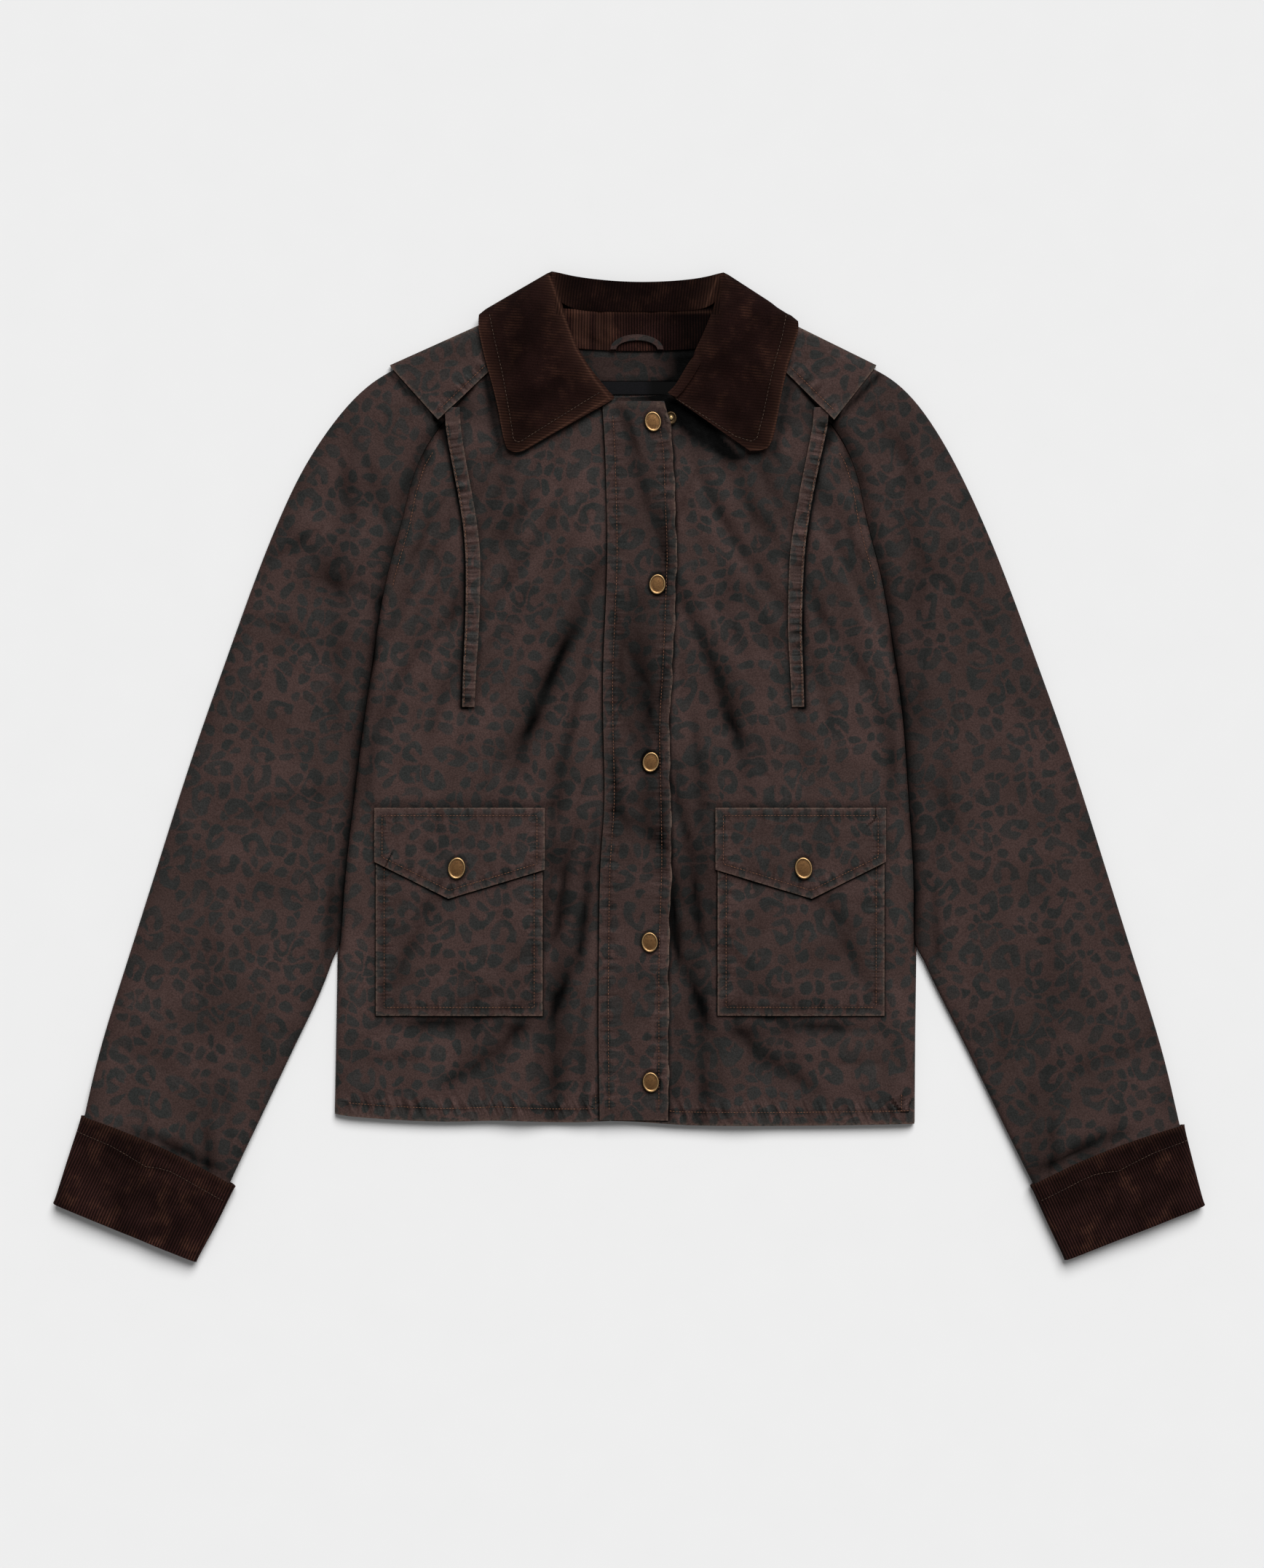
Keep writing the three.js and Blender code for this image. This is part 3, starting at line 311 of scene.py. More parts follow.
def corduroy(name, turn, shade=1.0, ribbed=1.0):
    material, shader = new_material(name)
    place = millimetres((0, 0), -turn)
    across = add("SeparateXYZ", Vector=place).outputs["Y"]
    sway = noise(place, 30.0, 1.0)
    across = times_plus(sway, 1.6, across)
    angle = times(across, 2 * math.pi / WALE)
    ridge = times_plus(calc("COSINE", angle), 0.5, 0.5)
    ridge = calc("POWER", ridge, 0.75)
    tuft = noise(place, 0.9, 3.0, 0.7)
    lie = noise(place, 17.0, 3.0, 0.6)
    light = ramp(ridge, 0.0, 1.0, 0.55 * (1 - ribbed), 1.0 - 0.3 * (1 - ribbed))
    pile = mixed(light, linear(PILE_DARK), linear(PILE_LIT))
    crushed = times(ramp(lie, 0.48, 0.72), ridge)
    pile = mixed(times(crushed, 0.65), pile, linear(PILE_CRUSHED))
    # the pile's tone: each piece's brightness factor, painted shade from the mesh and random
    # patches
    tone = ramp(tuft, 0.25, 0.75, 0.62 * shade, 1.4 * shade)
    painted_shade = times_plus(attribute("painted_shade"), -0.85, 1.0, clamp=True)
    patch = ramp(noise(place, 26.0, 2.0), 0.3, 0.68, 0.68, 1.3)
    tone = times(tone, times(painted_shade, patch))
    pile = vector_calc("SCALE", pile, scale=tone)
    # pale ridges along the edges: rubbed pile, and in part a painted highlight where the pile
    # catches light
    rubbed_and_highlighted = times_plus(ridge, 0.5, 0.25)
    rubbed_and_highlighted = times(attribute("wear_and_highlight"), rubbed_and_highlighted)
    fill(shader, Base_Color=mixed(rubbed_and_highlighted, pile, linear(PILE_RUBBED_AND_HIGHLIT)))
    normal = bumped(times(ridge, 0.1 + 0.65 * ribbed), 0.8)
    normal = bumped(times(tuft, 0.35), 0.6, Normal=normal)
    fill(shader, Normal=normal, Roughness=0.95, Specular_IOR_Level=0.04)
    fill(shader, Sheen_Weight=0.03, Sheen_Roughness=0.35, Sheen_Tint=linear("#a9806a"))
    return material


def plain_lining():
    material, shader = new_material("cotton lining")
    place = millimetres()
    grain = noise(place, 1.2, 3.0, 0.7)
    colour = mixed(ramp(grain, 0.3, 0.7), linear("#09090b"), linear("#100f12"))
    lit = minus(1.0, attribute("painted_shade"), clamp=True)
    fill(shader, Base_Color=vector_calc("SCALE", colour, scale=lit))
    fill(shader, Normal=bumped(times(grain, 0.2), 0.5), Roughness=0.8, Specular_IOR_Level=0.1)
    return material


def sewing_thread(name, dark, pale):
    material, shader = new_material("polyester sewing thread, " + name)
    place = millimetres()
    grain = noise(place, 4.0, 2.0)
    colour = mixed(ramp(grain, 0.35, 0.65), linear(dark), linear(pale))
    twist = add("TexWave", Vector=place, Scale=0.9, Distortion=1.0).outputs["Fac"]
    fill(shader, Base_Color=colour, Normal=bumped(times(twist, 0.08), 0.6))
    fill(shader, Roughness=0.6, Specular_IOR_Level=0.3)
    return material


def antiqued_brass(name, dark, pale, rim):
    material, shader = new_material(name)
    place = millimetres()
    patina = noise(place, 1.6, 4.0, 0.65)
    colour = mixed(ramp(patina, 0.3, 0.7), linear(dark), linear(pale))
    # the pale rim colour where the mesh asks for it: a painted highlight, with wear on the caps'
    # rims
    fill(shader, Base_Color=mixed(attribute("wear_and_highlight"), colour, linear(rim)), Metallic=1.0)
    fill(shader, Roughness=ramp(patina, 0.3, 0.7, 0.5, 0.36))
    fill(shader, Normal=bumped(times(patina, 0.05), 0.5))
    return material


# The third number scales each piece's brightness: on the band it is painted shade inside the neck,
# under the leaves, and on the stand in part painted light where it faces the lamp.
CORD = {
    "leaf_right": corduroy("corduroy, right leaf", -5, 0.76, 0.05),
    "leaf_left": corduroy("corduroy, left leaf", -6, 0.74, 0.05),
    "band": corduroy("corduroy, band", 82, 0.47, 0.5),
    "stand": corduroy("corduroy, stand", 90, 1.3, 0.8),
    "cuff_right": corduroy("corduroy, right cuff", 65, 1.5),
    "cuff_left": corduroy("corduroy, left cuff", -65, 1.38),
}
LINING = plain_lining()
CAP_BRASS = antiqued_brass("antiqued brass, caps", "#5a412a", "#84623f", "#b8976b")
# The stud's brass is darker than the caps' as painted shade: it lies under the fly's edge in the
# collar's shadow. Its pale colour goes on the post as a painted highlight.
SHADED_STUD_BRASS = antiqued_brass("antiqued brass in painted shade, stud", "#2c2319", "#4a3b28", "#c2a878")
RUST_THREAD = sewing_thread("rust", "#583b2e", "#7f5741")
PALE_THREAD = sewing_thread("pale", "#33251e", "#523f33")
print("corduroy materials:", len(CORD))

# %% [markdown]
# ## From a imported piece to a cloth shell
#
# `shell_of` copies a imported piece, pairs its triangles back into quads, smooths it by subdivision
# with its sharp rims held, and rounds the rims as folded cloth is.


# %%
WELD = 1e-6  # m
RIM = math.radians(52)  # an edge that turns by more than this is a rim
CORNER = math.radians(30)  # and a rim that turns by more has a corner


@contextmanager
def opened(mesh, into=None):
    """A mesh opened for editing. The result goes into a mesh, or nowhere."""
    bm = bmesh.new()
    bm.from_mesh(mesh)
    yield bm
    if into is not None:
        bm.to_mesh(into)
    bm.free()


def linked(name, data):
    made = bpy.data.objects.new(name, data)
    bpy.context.collection.objects.link(made)
    return made


def rims_of(bm):
    return [e for e in bm.edges if len(e.link_faces) == 2 and e.calc_face_angle() > RIM]


def shell_of(node_name, levels=3, rim=0.7):
    """A piece's cloth, smoothed so many times, with rims rounded over rim millimetres."""
    mesh = bpy.data.meshes.new(node_name + "_shell")
    with opened(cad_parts[node_name].data, mesh) as bm:
        bmesh.ops.remove_doubles(bm, verts=bm.verts, dist=WELD)
        if levels:
            flat = {"angle_face_threshold": math.radians(50), "angle_shape_threshold": math.pi}
            bmesh.ops.join_triangles(bm, faces=bm.faces, **flat)
        crease = bm.edges.layers.float.new("crease_edge")
        for edge in rims_of(bm):
            edge[crease] = 1.0
        pinned = bm.verts.layers.float.new("crease_vert")
        for vert in bm.verts:
            held = [e.other_vert(vert).co - vert.co for e in vert.link_edges if e[crease] > 0.5]
            ways = [way.normalized() for way in held]
            if len(ways) == 2 and ways[0].angle(-ways[1]) > CORNER:
                vert[pinned] = 1.0
    piece = linked(node_name + "_cloth", mesh)
    if levels:
        smooth = piece.modifiers.new("smooth", "SUBSURF")
        smooth.levels = levels
        smooth.subdivision_type = "CATMULL_CLARK"
        evaluated = piece.evaluated_get(bpy.context.evaluated_depsgraph_get())
        made = bpy.data.meshes.new_from_object(evaluated)
        piece.modifiers.clear()
        piece.data = made
        bpy.data.meshes.remove(mesh)
    with opened(piece.data, piece.data) as bm:
        rims = rims_of(bm)
        if rims:
            round_off = {"segments": 2, "profile": 0.5, "affect": "EDGES", "clamp_overlap": True}
            bmesh.ops.bevel(bm, geom=rims, offset=rim * MM, **round_off)
    piece.data.shade_smooth()
    return piece


def points_of(piece):
    """Its points in millimetres, one row each."""
    flat = np.empty(len(piece.data.vertices) * 3, dtype=np.float32)
    piece.data.vertices.foreach_get("co", flat)
    return flat.reshape(-1, 3).astype(np.float64) / MM


def put_points(piece, points):
    piece.data.vertices.foreach_set("co", (points * MM).astype(np.float32).ravel())
    piece.data.update()


def normals_of(piece):
    flat = np.empty(len(piece.data.vertices) * 3, dtype=np.float32)
    piece.data.vertices.foreach_get("normal", flat)
    return flat.reshape(-1, 3)


def write(piece, name, values):
    made = piece.data.attributes.get(name) or piece.data.attributes.new(name, "FLOAT", "POINT")
    made.data.foreach_set("value", np.asarray(values, dtype=np.float32))


print("shell tools ready")

# %% [markdown]
# ## Creases
#
# A crease is a soft band from one point to another. `bow` bends it sideways, `width` is the
# distance at which it has fallen to about a third, and `lift` is its height; a trough has a
# negative one. A short slack wave runs over everything, because laid cloth is never quite flat.


# %%
def rise(value, start, over):
    """From 0 at the start to 1."""
    return np.clip((value - start) / over, 0, 1)


def fall(value, end, over):
    """From 1 down to 0 at the end."""
    return np.clip((end - value) / over, 0, 1)


def bell(distance, reach):
    return np.exp(-((distance / reach) ** 2))


def creases(x, y, table, spread=1.0, drawn=False):
    """The height of a table of creases. Drawn ones end in long points, the others are blunt."""
    lift = np.zeros_like(x)
    blunt, tail = (0.35, 2.6 / math.sqrt(spread)) if drawn else (0.55, 1.6)
    for x1, y1, x2, y2, bow, width, height in table:
        width = width * spread
        length = math.hypot(x2 - x1, y2 - y1)
        ux, uy = (x2 - x1) / length, (y2 - y1) / length
        along = (x - x1) * ux + (y - y1) * uy
        across = (x - x1) * uy - (y - y1) * ux
        t = np.clip(along / length, 0, 1)
        across = across - bow * 4 * t * (1 - t)
        past = np.maximum(np.maximum(-along, along - length), 0)
        narrow = width * (blunt + (1 - blunt) * np.sin(math.pi * np.clip(t, 0.05, 0.95)))
        lift += height * np.exp(-((across / narrow) ** 2) - (past / (tail * width)) ** 2)
    return lift


def slack(x, y, seed, lengths=(26, 90), height=0.5, count=14):
    rng = np.random.default_rng(seed)
    wave = np.zeros_like(x)
    for _ in range(count):
        length = rng.uniform(*lengths)
        turn = rng.uniform(0, math.pi)
        wave += math.sqrt(length / lengths[1]) * np.cos(
            2 * math.pi / length * (x * math.cos(turn) + y * math.sin(turn)) + rng.uniform(0, 6.28)
        )
    return wave * height / math.sqrt(count / 2)


def fan(x, y):
    """Long shallow folds, down and outwards from the fly, -1 to 1, for the wearer's right."""
    across = 0.9 * x - 0.43 * y + 5 * np.sin(y / 41) + 3 * np.sin(x / 23 + 1)
    wave = 0.6 * np.cos(across / 5.6) + 0.5 * np.cos(across / 3.7 + 2 * np.sin(y / 70))
    chest = rise(y, -10, 50) * fall(y, 290, 60)
    return wave * (0.25 + 0.75 * chest) * fall(x, -24, 25)


# x1, y1, x2, y2, bow, width, lift: written for the wearer's right and met again, mirrored, on the
# left
SHARED_CREASES = [
    (-58, 88, -84, 26, 2, 8, -1.4), (-84, 30, -112, -6, 3, 7, -1.5),
    (-51, 20, -58, -34, 2, 5, -1.9), (-28, 8, -38, -20, 1, 4, -1.0),
    (-76, 248, -88, 210, 3, 5, -1.0), (-88, 212, -119, 166, 4, 6.5, -1.5),
    (-104, 262, -126, 214, 5, 5, -1.5), (-86, 142, -120, 98, -3, 8, -1.4),
    (-147, 226, -173, 182, 3, 5, -1.5), (-172, 186, -186, 150, 2, 5, -1.0),
    (-150, 188, -158, 164, 1, 4, -1.0), (-137, 152, -146, 122, 2, 5, -1.9),
    (-146, 124, -182, 82, 3, 5, -1.5), (-158, 150, -176, 118, 2, 4, -0.9),
    (-121, 318, -139, 294, 2, 4, -1.3), (-188, 300, -184, 246, 2, 6, -1.3),
    (-186, 70, -222, -28, 5, 6, -0.8), (-64, -34, -69, -120, -2, 4, -1.7),
    (-46, -62, -54, -100, 2, 6, -1.6), (-54, -98, -58, -128, 1, 4.5, -1.6),
    (-57, -126, -70, -148, -2, 6, -1.8), (-28, -58, -36, -120, 2, 4.5, -1.5),
    (-36, -118, -40, -150, 1, 4.5, -1.6), (-40, -148, -54, -184, 2, 5.5, -1.4),
    (-54, -182, -64, -204, 2, 7, -1.2), (-62, -200, -62, -288, 0, 5.5, -1.3),
    (-38, -200, -36, -288, 1, 3.5, -1.6), (-192, -213, -160, -212, -2, 6, -1.5),
    (-166, -211, -118, -205, 2, 5, -1.6), (-88, -205, -100, -226, 1, 7, -1.1),
    (-100, -224, -124, -244, 2, 9, -1.2), (-122, -243, -144, -257, -1, 7, -1.1),
    (-198, -241, -180, -241, 0, 4, -1.5), (-75, -244, -78, -276, 1, 5, -1.0),
    (-216, -225, -234, -252, -2, 8, -1.0), (-210, -273, -190, -267, 0, 4, -0.7),
    (-72, 150, -96, 84, 4, 13, 1.1), (-104, 248, -108, 196, 3, 9, 1.0),
    (-160, 226, -178, 200, 2, 7, 0.9), (-146, 108, -176, 60, 3, 9, 0.9),
    (-70, 34, -76, -16, 2, 8, 0.9), (-50, -206, -48, -284, 0, 6, 1.3),
    (-56, -152, -60, -186, 2, 6, 1.2), (-60, -52, -61, -112, 0, 3.5, 1.1),
    (-90, -232, -104, -262, 0, 9, 1.0), (-146, -232, -186, -230, 2, 8, 1.0),
    (-116, -264, -166, -270, 2, 8, 0.9),
]
FRONT_CREASES = {
    "front_right": [
        (-20, 174, -60, 84, 3, 8, -1.5), (-36, 176, -72, 104, 4, 10, 1.2),
        (-34, 86, -46, 30, 2, 4.5, -1.5), (-38, 108, -22, 98, 1, 4, -0.9),
        (-58, 262, -63, 250, 1, 4, -0.7), (-62, 190, -65, 164, 1, 5, -0.7),
        (-64, 146, -73, 128, 1, 4, -0.7),
    ],
    "front_left": [
        (38, -22, 48, -54, 1, 4.5, -2.4), (38, 4, 43, -12, 0, 3.5, -1.6),
        (40, 210, 51, 234, 1, 4, -1.2), (82, 146, 86, 122, 2, 7, -1.3),
        (62, 234, 78, 204, 2, 4, -1.0), (78, 204, 91, 178, 1, 5, -0.9),
        (66, 244, 96, 186, -3, 5, 0.9), (43, 142, 50, 124, 1, 4, -1.0),
        (44, 76, 45, 58, 0, 4, -0.8), (38, -96, 38, -136, 0, 5, -1.2),
    ],
}
FLY_CREASES = [
    (-10, 300, 2, 268, 1, 5, -1.7), (0, 280, 14, 224, 2, 5, -2.2), (13, 228, 28, 180, -1, 6, -2.4),
    (28, 182, 30, 150, 0, 5, -1.2), (-10, 120, -8, 92, 0, 4, -1.6), (-8, 76, -9, 44, 0, 5, -1.4),
    (4, 88, 16, 68, 1, 5, -1.2), (30, 76, 20, 52, -3, 6, -1.6), (18, 44, 27, 14, 1, 4, -1.4),
    (0, 30, 4, 14, 1, 4, -0.9), (-10, 10, -9, -18, 0, 4, -0.9), (-9, -20, -3, -42, 1, 6, -1.9),
    (-4, -42, 28, -64, -3, 6, -2.1), (13, -12, 14, -34, -3, 4, -1.0),
    (29, -28, 30, -88, 0, 3, -1.5), (-14, -116, -9, -104, 0, 4, -0.9),
    (-15, -129, 6, -125, 0, 4, -1.0), (-6, -170, 26, -176, 2, 5, -0.8),
    (-12, -212, -4, -208, 0, 4, -0.6), (4, -236, 12, -246, 1, 5, -0.8),
    (-2, 292, 22, 240, 4, 6, 1.1), (-4, 60, 14, 20, 2, 7, 0.8), (0, -66, 22, -84, 2, 7, 0.9),
    (0, -186, 20, -206, 2, 8, 0.9),
]
SLEEVE_CREASES = {
    "sleeve_right": [
        (-286, 176, -270, 186, 2, 6, -1.2), (-268, 182, -244, 150, -2, 7, -0.9),
        (-246, 152, -212, 138, -3, 7, -0.9), (-262, 200, -232, 168, -3, 8, 0.7),
        (-236, 242, -228, 204, 2, 6, -1.2), (-214, 244, -203, 206, 2, 7, -1.4),
        (-300, 118, -276, 106, -2, 7, -1.1), (-292, 100, -262, 80, -3, 9, 0.8),
        (-296, -32, -258, -22, 2, 6, -0.9), (-312, -40, -296, -46, 2, 5, -0.8),
    ],
    "sleeve_left": [
        (-208, 284, -232, 246, -3, 8, -1.1), (-224, 214, -246, 176, 3, 8, 0.8),
        (-240, 74, -262, 24, 3, 9, 0.8), (-262, 148, -292, 118, 3, 8, -0.7),
        (-250, -20, -266, -48, 3, 6, -0.9),
    ],
}
LOW_SLEEVE_CREASES = [
    (-258, -8, -246, -92, 5, 7, -0.9), (-366, -52, -300, -84, 6, 9, 0.8),
    (-346, -160, -342, -262, 6, 16, -1.0), (-300, -214, -278, -220, 2, 5, -0.9),
    (-404, -206, -350, -238, 6, 9, 0.8), (-394, -240, -366, -254, 2, 6, -1.1),
    (-306, -216, -304, -250, 2, 4, -0.8), (-332, -272, -330, -298, 1, 5, -0.9),
    (-420, -228, -408, -238, 2, 4, -0.7), (-386, -307, -364, -319, 1, 4, -1.9),
    (-348, -306, -346, -336, 1, 3.0, -1.6), (-356, -300, -354, -338, 1, 4, 1.2),
    (-340, -300, -336, -334, 1, 4, 1.0), (-400, -290, -398, -304, 0, 4, -0.8),
]


# Painted shade on places that are no deeper: beside an edge that lies over them, and in the
# drawn-up cloth. The last value is 0 to 1.
SHARED_PAINTED_SHADE = [
    (-54, -36, -52, -196, 0, 17, 0.28), (-60, -190, -60, -290, 0, 14, 0.33),
    (-28, -30, -38, -150, 0, 9, 0.2), (-148, 300, -124, 288, 0, 13, 0.4),
    (-184, 300, -170, 258, 0, 12, 0.35), (-214, 262, -214, -24, 0, 9, 0.25),
    (-102, 246, -98, 180, 0, 15, 0.2), (-30, 150, -92, -4, 4, 18, 0.2),
    (-210, -30, -66, -30, 0, 4, 0.35), (-170, -214, -90, -214, 0, 9, 0.32),
    (-96, -222, -140, -252, 0, 14, 0.2),
]
SLEEVE_PAINTED_SHADE = [
    (-228, 262, -240, 40, 4, 12, 0.3), (-262, 176, -240, 150, 0, 14, 0.15),
    (-350, -290, -336, -330, 0, 14, 0.2), (-402, -304, -346, -327, 0, 9, 0.5),
]
# Painted shadows beside and below the collar's leaves and the shoulder flaps, and at the armpits.
# The last value is 0 to 1.
PAINTED_SHADOWS = [
    (-119, 324, -107, 266, 0, 5.5, 0.95), (-100, 258, -20, 299, 0, 4.5, 0.5),
    (136, 332, 121, 268, 0, 7, 0.7), (110, 258, 94, 256, 0, 4, 0.6),
    (34, 299, 76, 265, 0, 12, 1.15), (36, 293, 74, 260, 0, 18, 0.4),
    (-14, 304, 30, 303.5, 0, 3.4, 0.7), (-194, 322, -157, 283, 0, 3.5, 0.9),
    (-157, 283, -152, 268, 0, 5, 0.8), (205, 322, 169, 285, 0, 3.5, 0.9),
    (169, 285, 165, 268, 0, 5, 0.8), (-246, -108, -248, -150, 0, 6, 0.5),
    (252, -108, 254, -150, 0, 6, 0.5),
]


def sheltered(x, y):
    return np.clip(creases(x, y, PAINTED_SHADOWS), 0, 1)


def on_right(x, y):
    """Where a point of the wearer's left front falls on the right one."""
    return 12 * rise(y, -20, 140) - x, y + 3 * np.clip(-y / 60, 0, 1)


def dips(x, y, table):
    """The painted shade in the troughs of a table, 0 to 1: a sharp core in wider and fainter bands.
    """
    troughs = [row for row in table if row[6] < 0]
    core = np.clip(-creases(x, y, troughs, 0.7, True) / 2.2, 0, 1)
    slope = np.clip(-creases(x, y, troughs, 1.6, True) / 3.2, 0, 1)
    halo = np.clip(-creases(x, y, troughs, 2.8, True) / 3.8, 0, 1)
    return 0.14 * core + 0.26 * slope + 0.26 * halo


print("creases met on both fronts:", len(SHARED_CREASES))

# %% [markdown]
# ## Sewn lines
#
# The outline of a piece seen from above gives its rows of stitches: the outline is moved inwards
# and cut to the stretches that are sewn. The same lines place the gathers.


# %%
GROOVE = 1.6  # mm, how far the painted shade beside a row of stitches reaches


def outline_of(node_name):
    """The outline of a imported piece's upper face as seen from above, anticlockwise, in mm."""
    ahead = {}
    with opened(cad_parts[node_name].data) as bm:
        bmesh.ops.remove_doubles(bm, verts=bm.verts, dist=WELD)
        upper = {f for f in bm.faces if f.normal.z > 0.35}
        for edge in bm.edges:
            above = [f for f in edge.link_faces if f in upper]
            if len(above) != 1:
                continue
            for loop in above[0].loops:
                if loop.edge == edge:
                    ahead[loop.vert.index] = loop.link_loop_next.vert.index
        places = [np.array(vert.co[:2]) / MM for vert in bm.verts]
    loops = []
    while ahead:
        start, here = next(iter(ahead.items()))
        del ahead[start]
        line = [start, here]
        while here in ahead:
            here = ahead.pop(here)
            line.append(here)
        loops.append([places[i] for i in line[:-1]])
    return max(loops, key=len)


def leftwards(ahead):
    """Unit steps to the left of each step of a line."""
    ahead = ahead / np.hypot(*ahead.T)[:, None]
    return np.stack([-ahead[:, 1], ahead[:, 0]], axis=1)


def inset(outline, distance):
    """The outline moved inwards by a distance, corners mitred."""
    points = np.array(outline)
    points = points[np.hypot(*(np.roll(points, -1, axis=0) - points).T) > 0.05]
    inward = leftwards(np.roll(points, -1, axis=0) - points)
    mitre = inward + np.roll(inward, 1, axis=0)
    mitre /= np.maximum((mitre * inward).sum(axis=1), 0.35)[:, None]
    return points + mitre * distance


def spaced(line, pitch):
    """Points at a pitch along a line, with the distance run."""
    line = np.asarray(line, dtype=float)
    steps = np.hypot(*np.diff(line, axis=0).T)
    run = np.concatenate([[0], np.cumsum(steps)])
    at = np.arange(pitch / 2, run[-1], pitch)
    return np.stack([np.interp(at, run, line[:, 0]), np.interp(at, run, line[:, 1])], axis=1), at


def stretches(outline, distance, wanted):
    """Stretches of the inset outline on which wanted(x, y) is true, as a list of lines."""
    ring = inset(outline, distance)
    ring = np.vstack([ring, ring[:1]])
    fine, _ = spaced(ring, 1.0)
    good = np.array([bool(wanted(x, y)) for x, y in fine])
    if good.all():
        return [np.vstack([fine, fine[:1]])]
    first = int(np.argmin(good))
    fine, good = np.roll(fine, -first, axis=0), np.roll(good, -first)
    lines, current = [], []
    for point, ok in zip(fine, good):
        if ok:
            current.append(point)
        elif current:
            lines.append(np.array(current))
            current = []
    if current:
        lines.append(np.array(current))
    return [line for line in lines if len(line) > 8]  # mm


def beside(line, distance):
    """An open line moved to its left by a distance."""
    return line + leftwards(np.gradient(line, axis=0)) * distance


def closed(outline):
    return np.vstack([outline, outline[:1]])


def spine(outline):
    """The middle line of a narrow upright piece: (levels, X at each level)."""
    ring, _ = spaced(closed(outline), 1.0)
    levels = np.linspace(ring[:, 1].min() + 3, ring[:, 1].max() - 3, 24)
    return levels, [ring[np.abs(ring[:, 1] - level) < 6, 0].mean() for level in levels]


def nearest_on(points, line):
    """(signed distance to the left of the line, distance run) of points, in mm."""
    line = np.asarray(line, dtype=float)
    if len(line) > 160:
        line = line[:: max(1, len(line) // 160)]
    a, b = line[:-1], line[1:]
    d = b - a
    length = np.hypot(*d.T)
    run = np.concatenate([[0], np.cumsum(length)])[:-1]
    best = np.full(len(points), 1e9)
    side, at = np.zeros((2, len(points)))
    for i in range(len(a)):
        if length[i] < 1e-9:
            continue
        rel = points - a[i]
        t = np.clip((rel @ d[i]) / length[i] ** 2, 0, 1)
        off = rel - t[:, None] * d[i]
        dist = np.hypot(*off.T)
        closer = dist < best
        best[closer] = dist[closer]
        cross = d[i][0] * rel[:, 1] - d[i][1] * rel[:, 0]
        side[closer] = np.sign(cross[closer])
        at[closer] = (run[i] + t * length[i])[closer]
    return best * np.where(side == 0, 1, side), at


def gather_along(piece, lines, reach=5.0, strength=1.0, skew=0.0):
    """Writes the gathers that sewing draws into the cloth on both sides of its lines."""
    xy = points_of(piece)[:, :2]
    amount, run = np.zeros((2, len(xy)))
    for k, line in enumerate(lines):
        distance, at = nearest_on(xy, line)
        here = strength * bell(distance, reach)
        more = here > amount
        amount[more] = here[more]
        run[more] = (at + skew * distance + 137 * k)[more]
    write(piece, "pucker", amount)
    write(piece, "run", run)


def both(dark, darker):
    """Two painted shades of the same cloth, each 0 to 1, one over the other."""
    return 1 - (1 - np.clip(dark, 0, 1)) * (1 - np.clip(darker, 0, 1))


def beside_lines(xy, lines, reach, dark):
    """How dark a painted shade along some lines is, 0 to 1."""
    shade = np.zeros(len(xy))
    for line in lines:
        distance, _ = nearest_on(xy, line)
        shade = np.maximum(shade, dark * bell(distance, reach))
    return shade


def wear_along(piece, rows):
    """Pales a piece's upper side along rows of (line, reach in mm, strength), as wear and in part
    painted highlight.
    """
    points = points_of(piece)
    amount = np.zeros(len(points))
    for line, reach, strength in rows:
        distance, _ = nearest_on(points[:, :2], line)
        amount = np.maximum(amount, strength * np.exp(-np.abs(distance) / reach))
    write(piece, "wear_and_highlight", amount * (normals_of(piece)[:, 2] > -0.3))


def refine(piece, lines, reach):
    """Halves the edges of the upper side near some lines, so that it can show a thin line."""
    points = points_of(piece)
    near = normals_of(piece)[:, 2] > 0.3
    near &= beside_lines(points[:, :2], lines, reach, 1.0) > math.exp(-1)
    with opened(piece.data, piece.data) as bm:
        both_near = [e for e in bm.edges if near[e.verts[0].index] and near[e.verts[1].index]]
        long = [e for e in both_near if e.calc_length() > 1.0 * MM]
        bmesh.ops.subdivide_edges(bm, edges=long, cuts=1, use_grid_fill=True)
    piece.data.shade_smooth()


print("sewing tools ready")

# %% [markdown]
# ## Laying the pieces on each other
#
# The pieces are dressed from the table upwards. A trim is lifted wherever a piece under it has come
# up, so that folds show through it. `finish_piece` gives a shell its cloth and its place in the
# model; it looks up the piece's sheet, the flat cloth that a maker would cut, but does not use it.

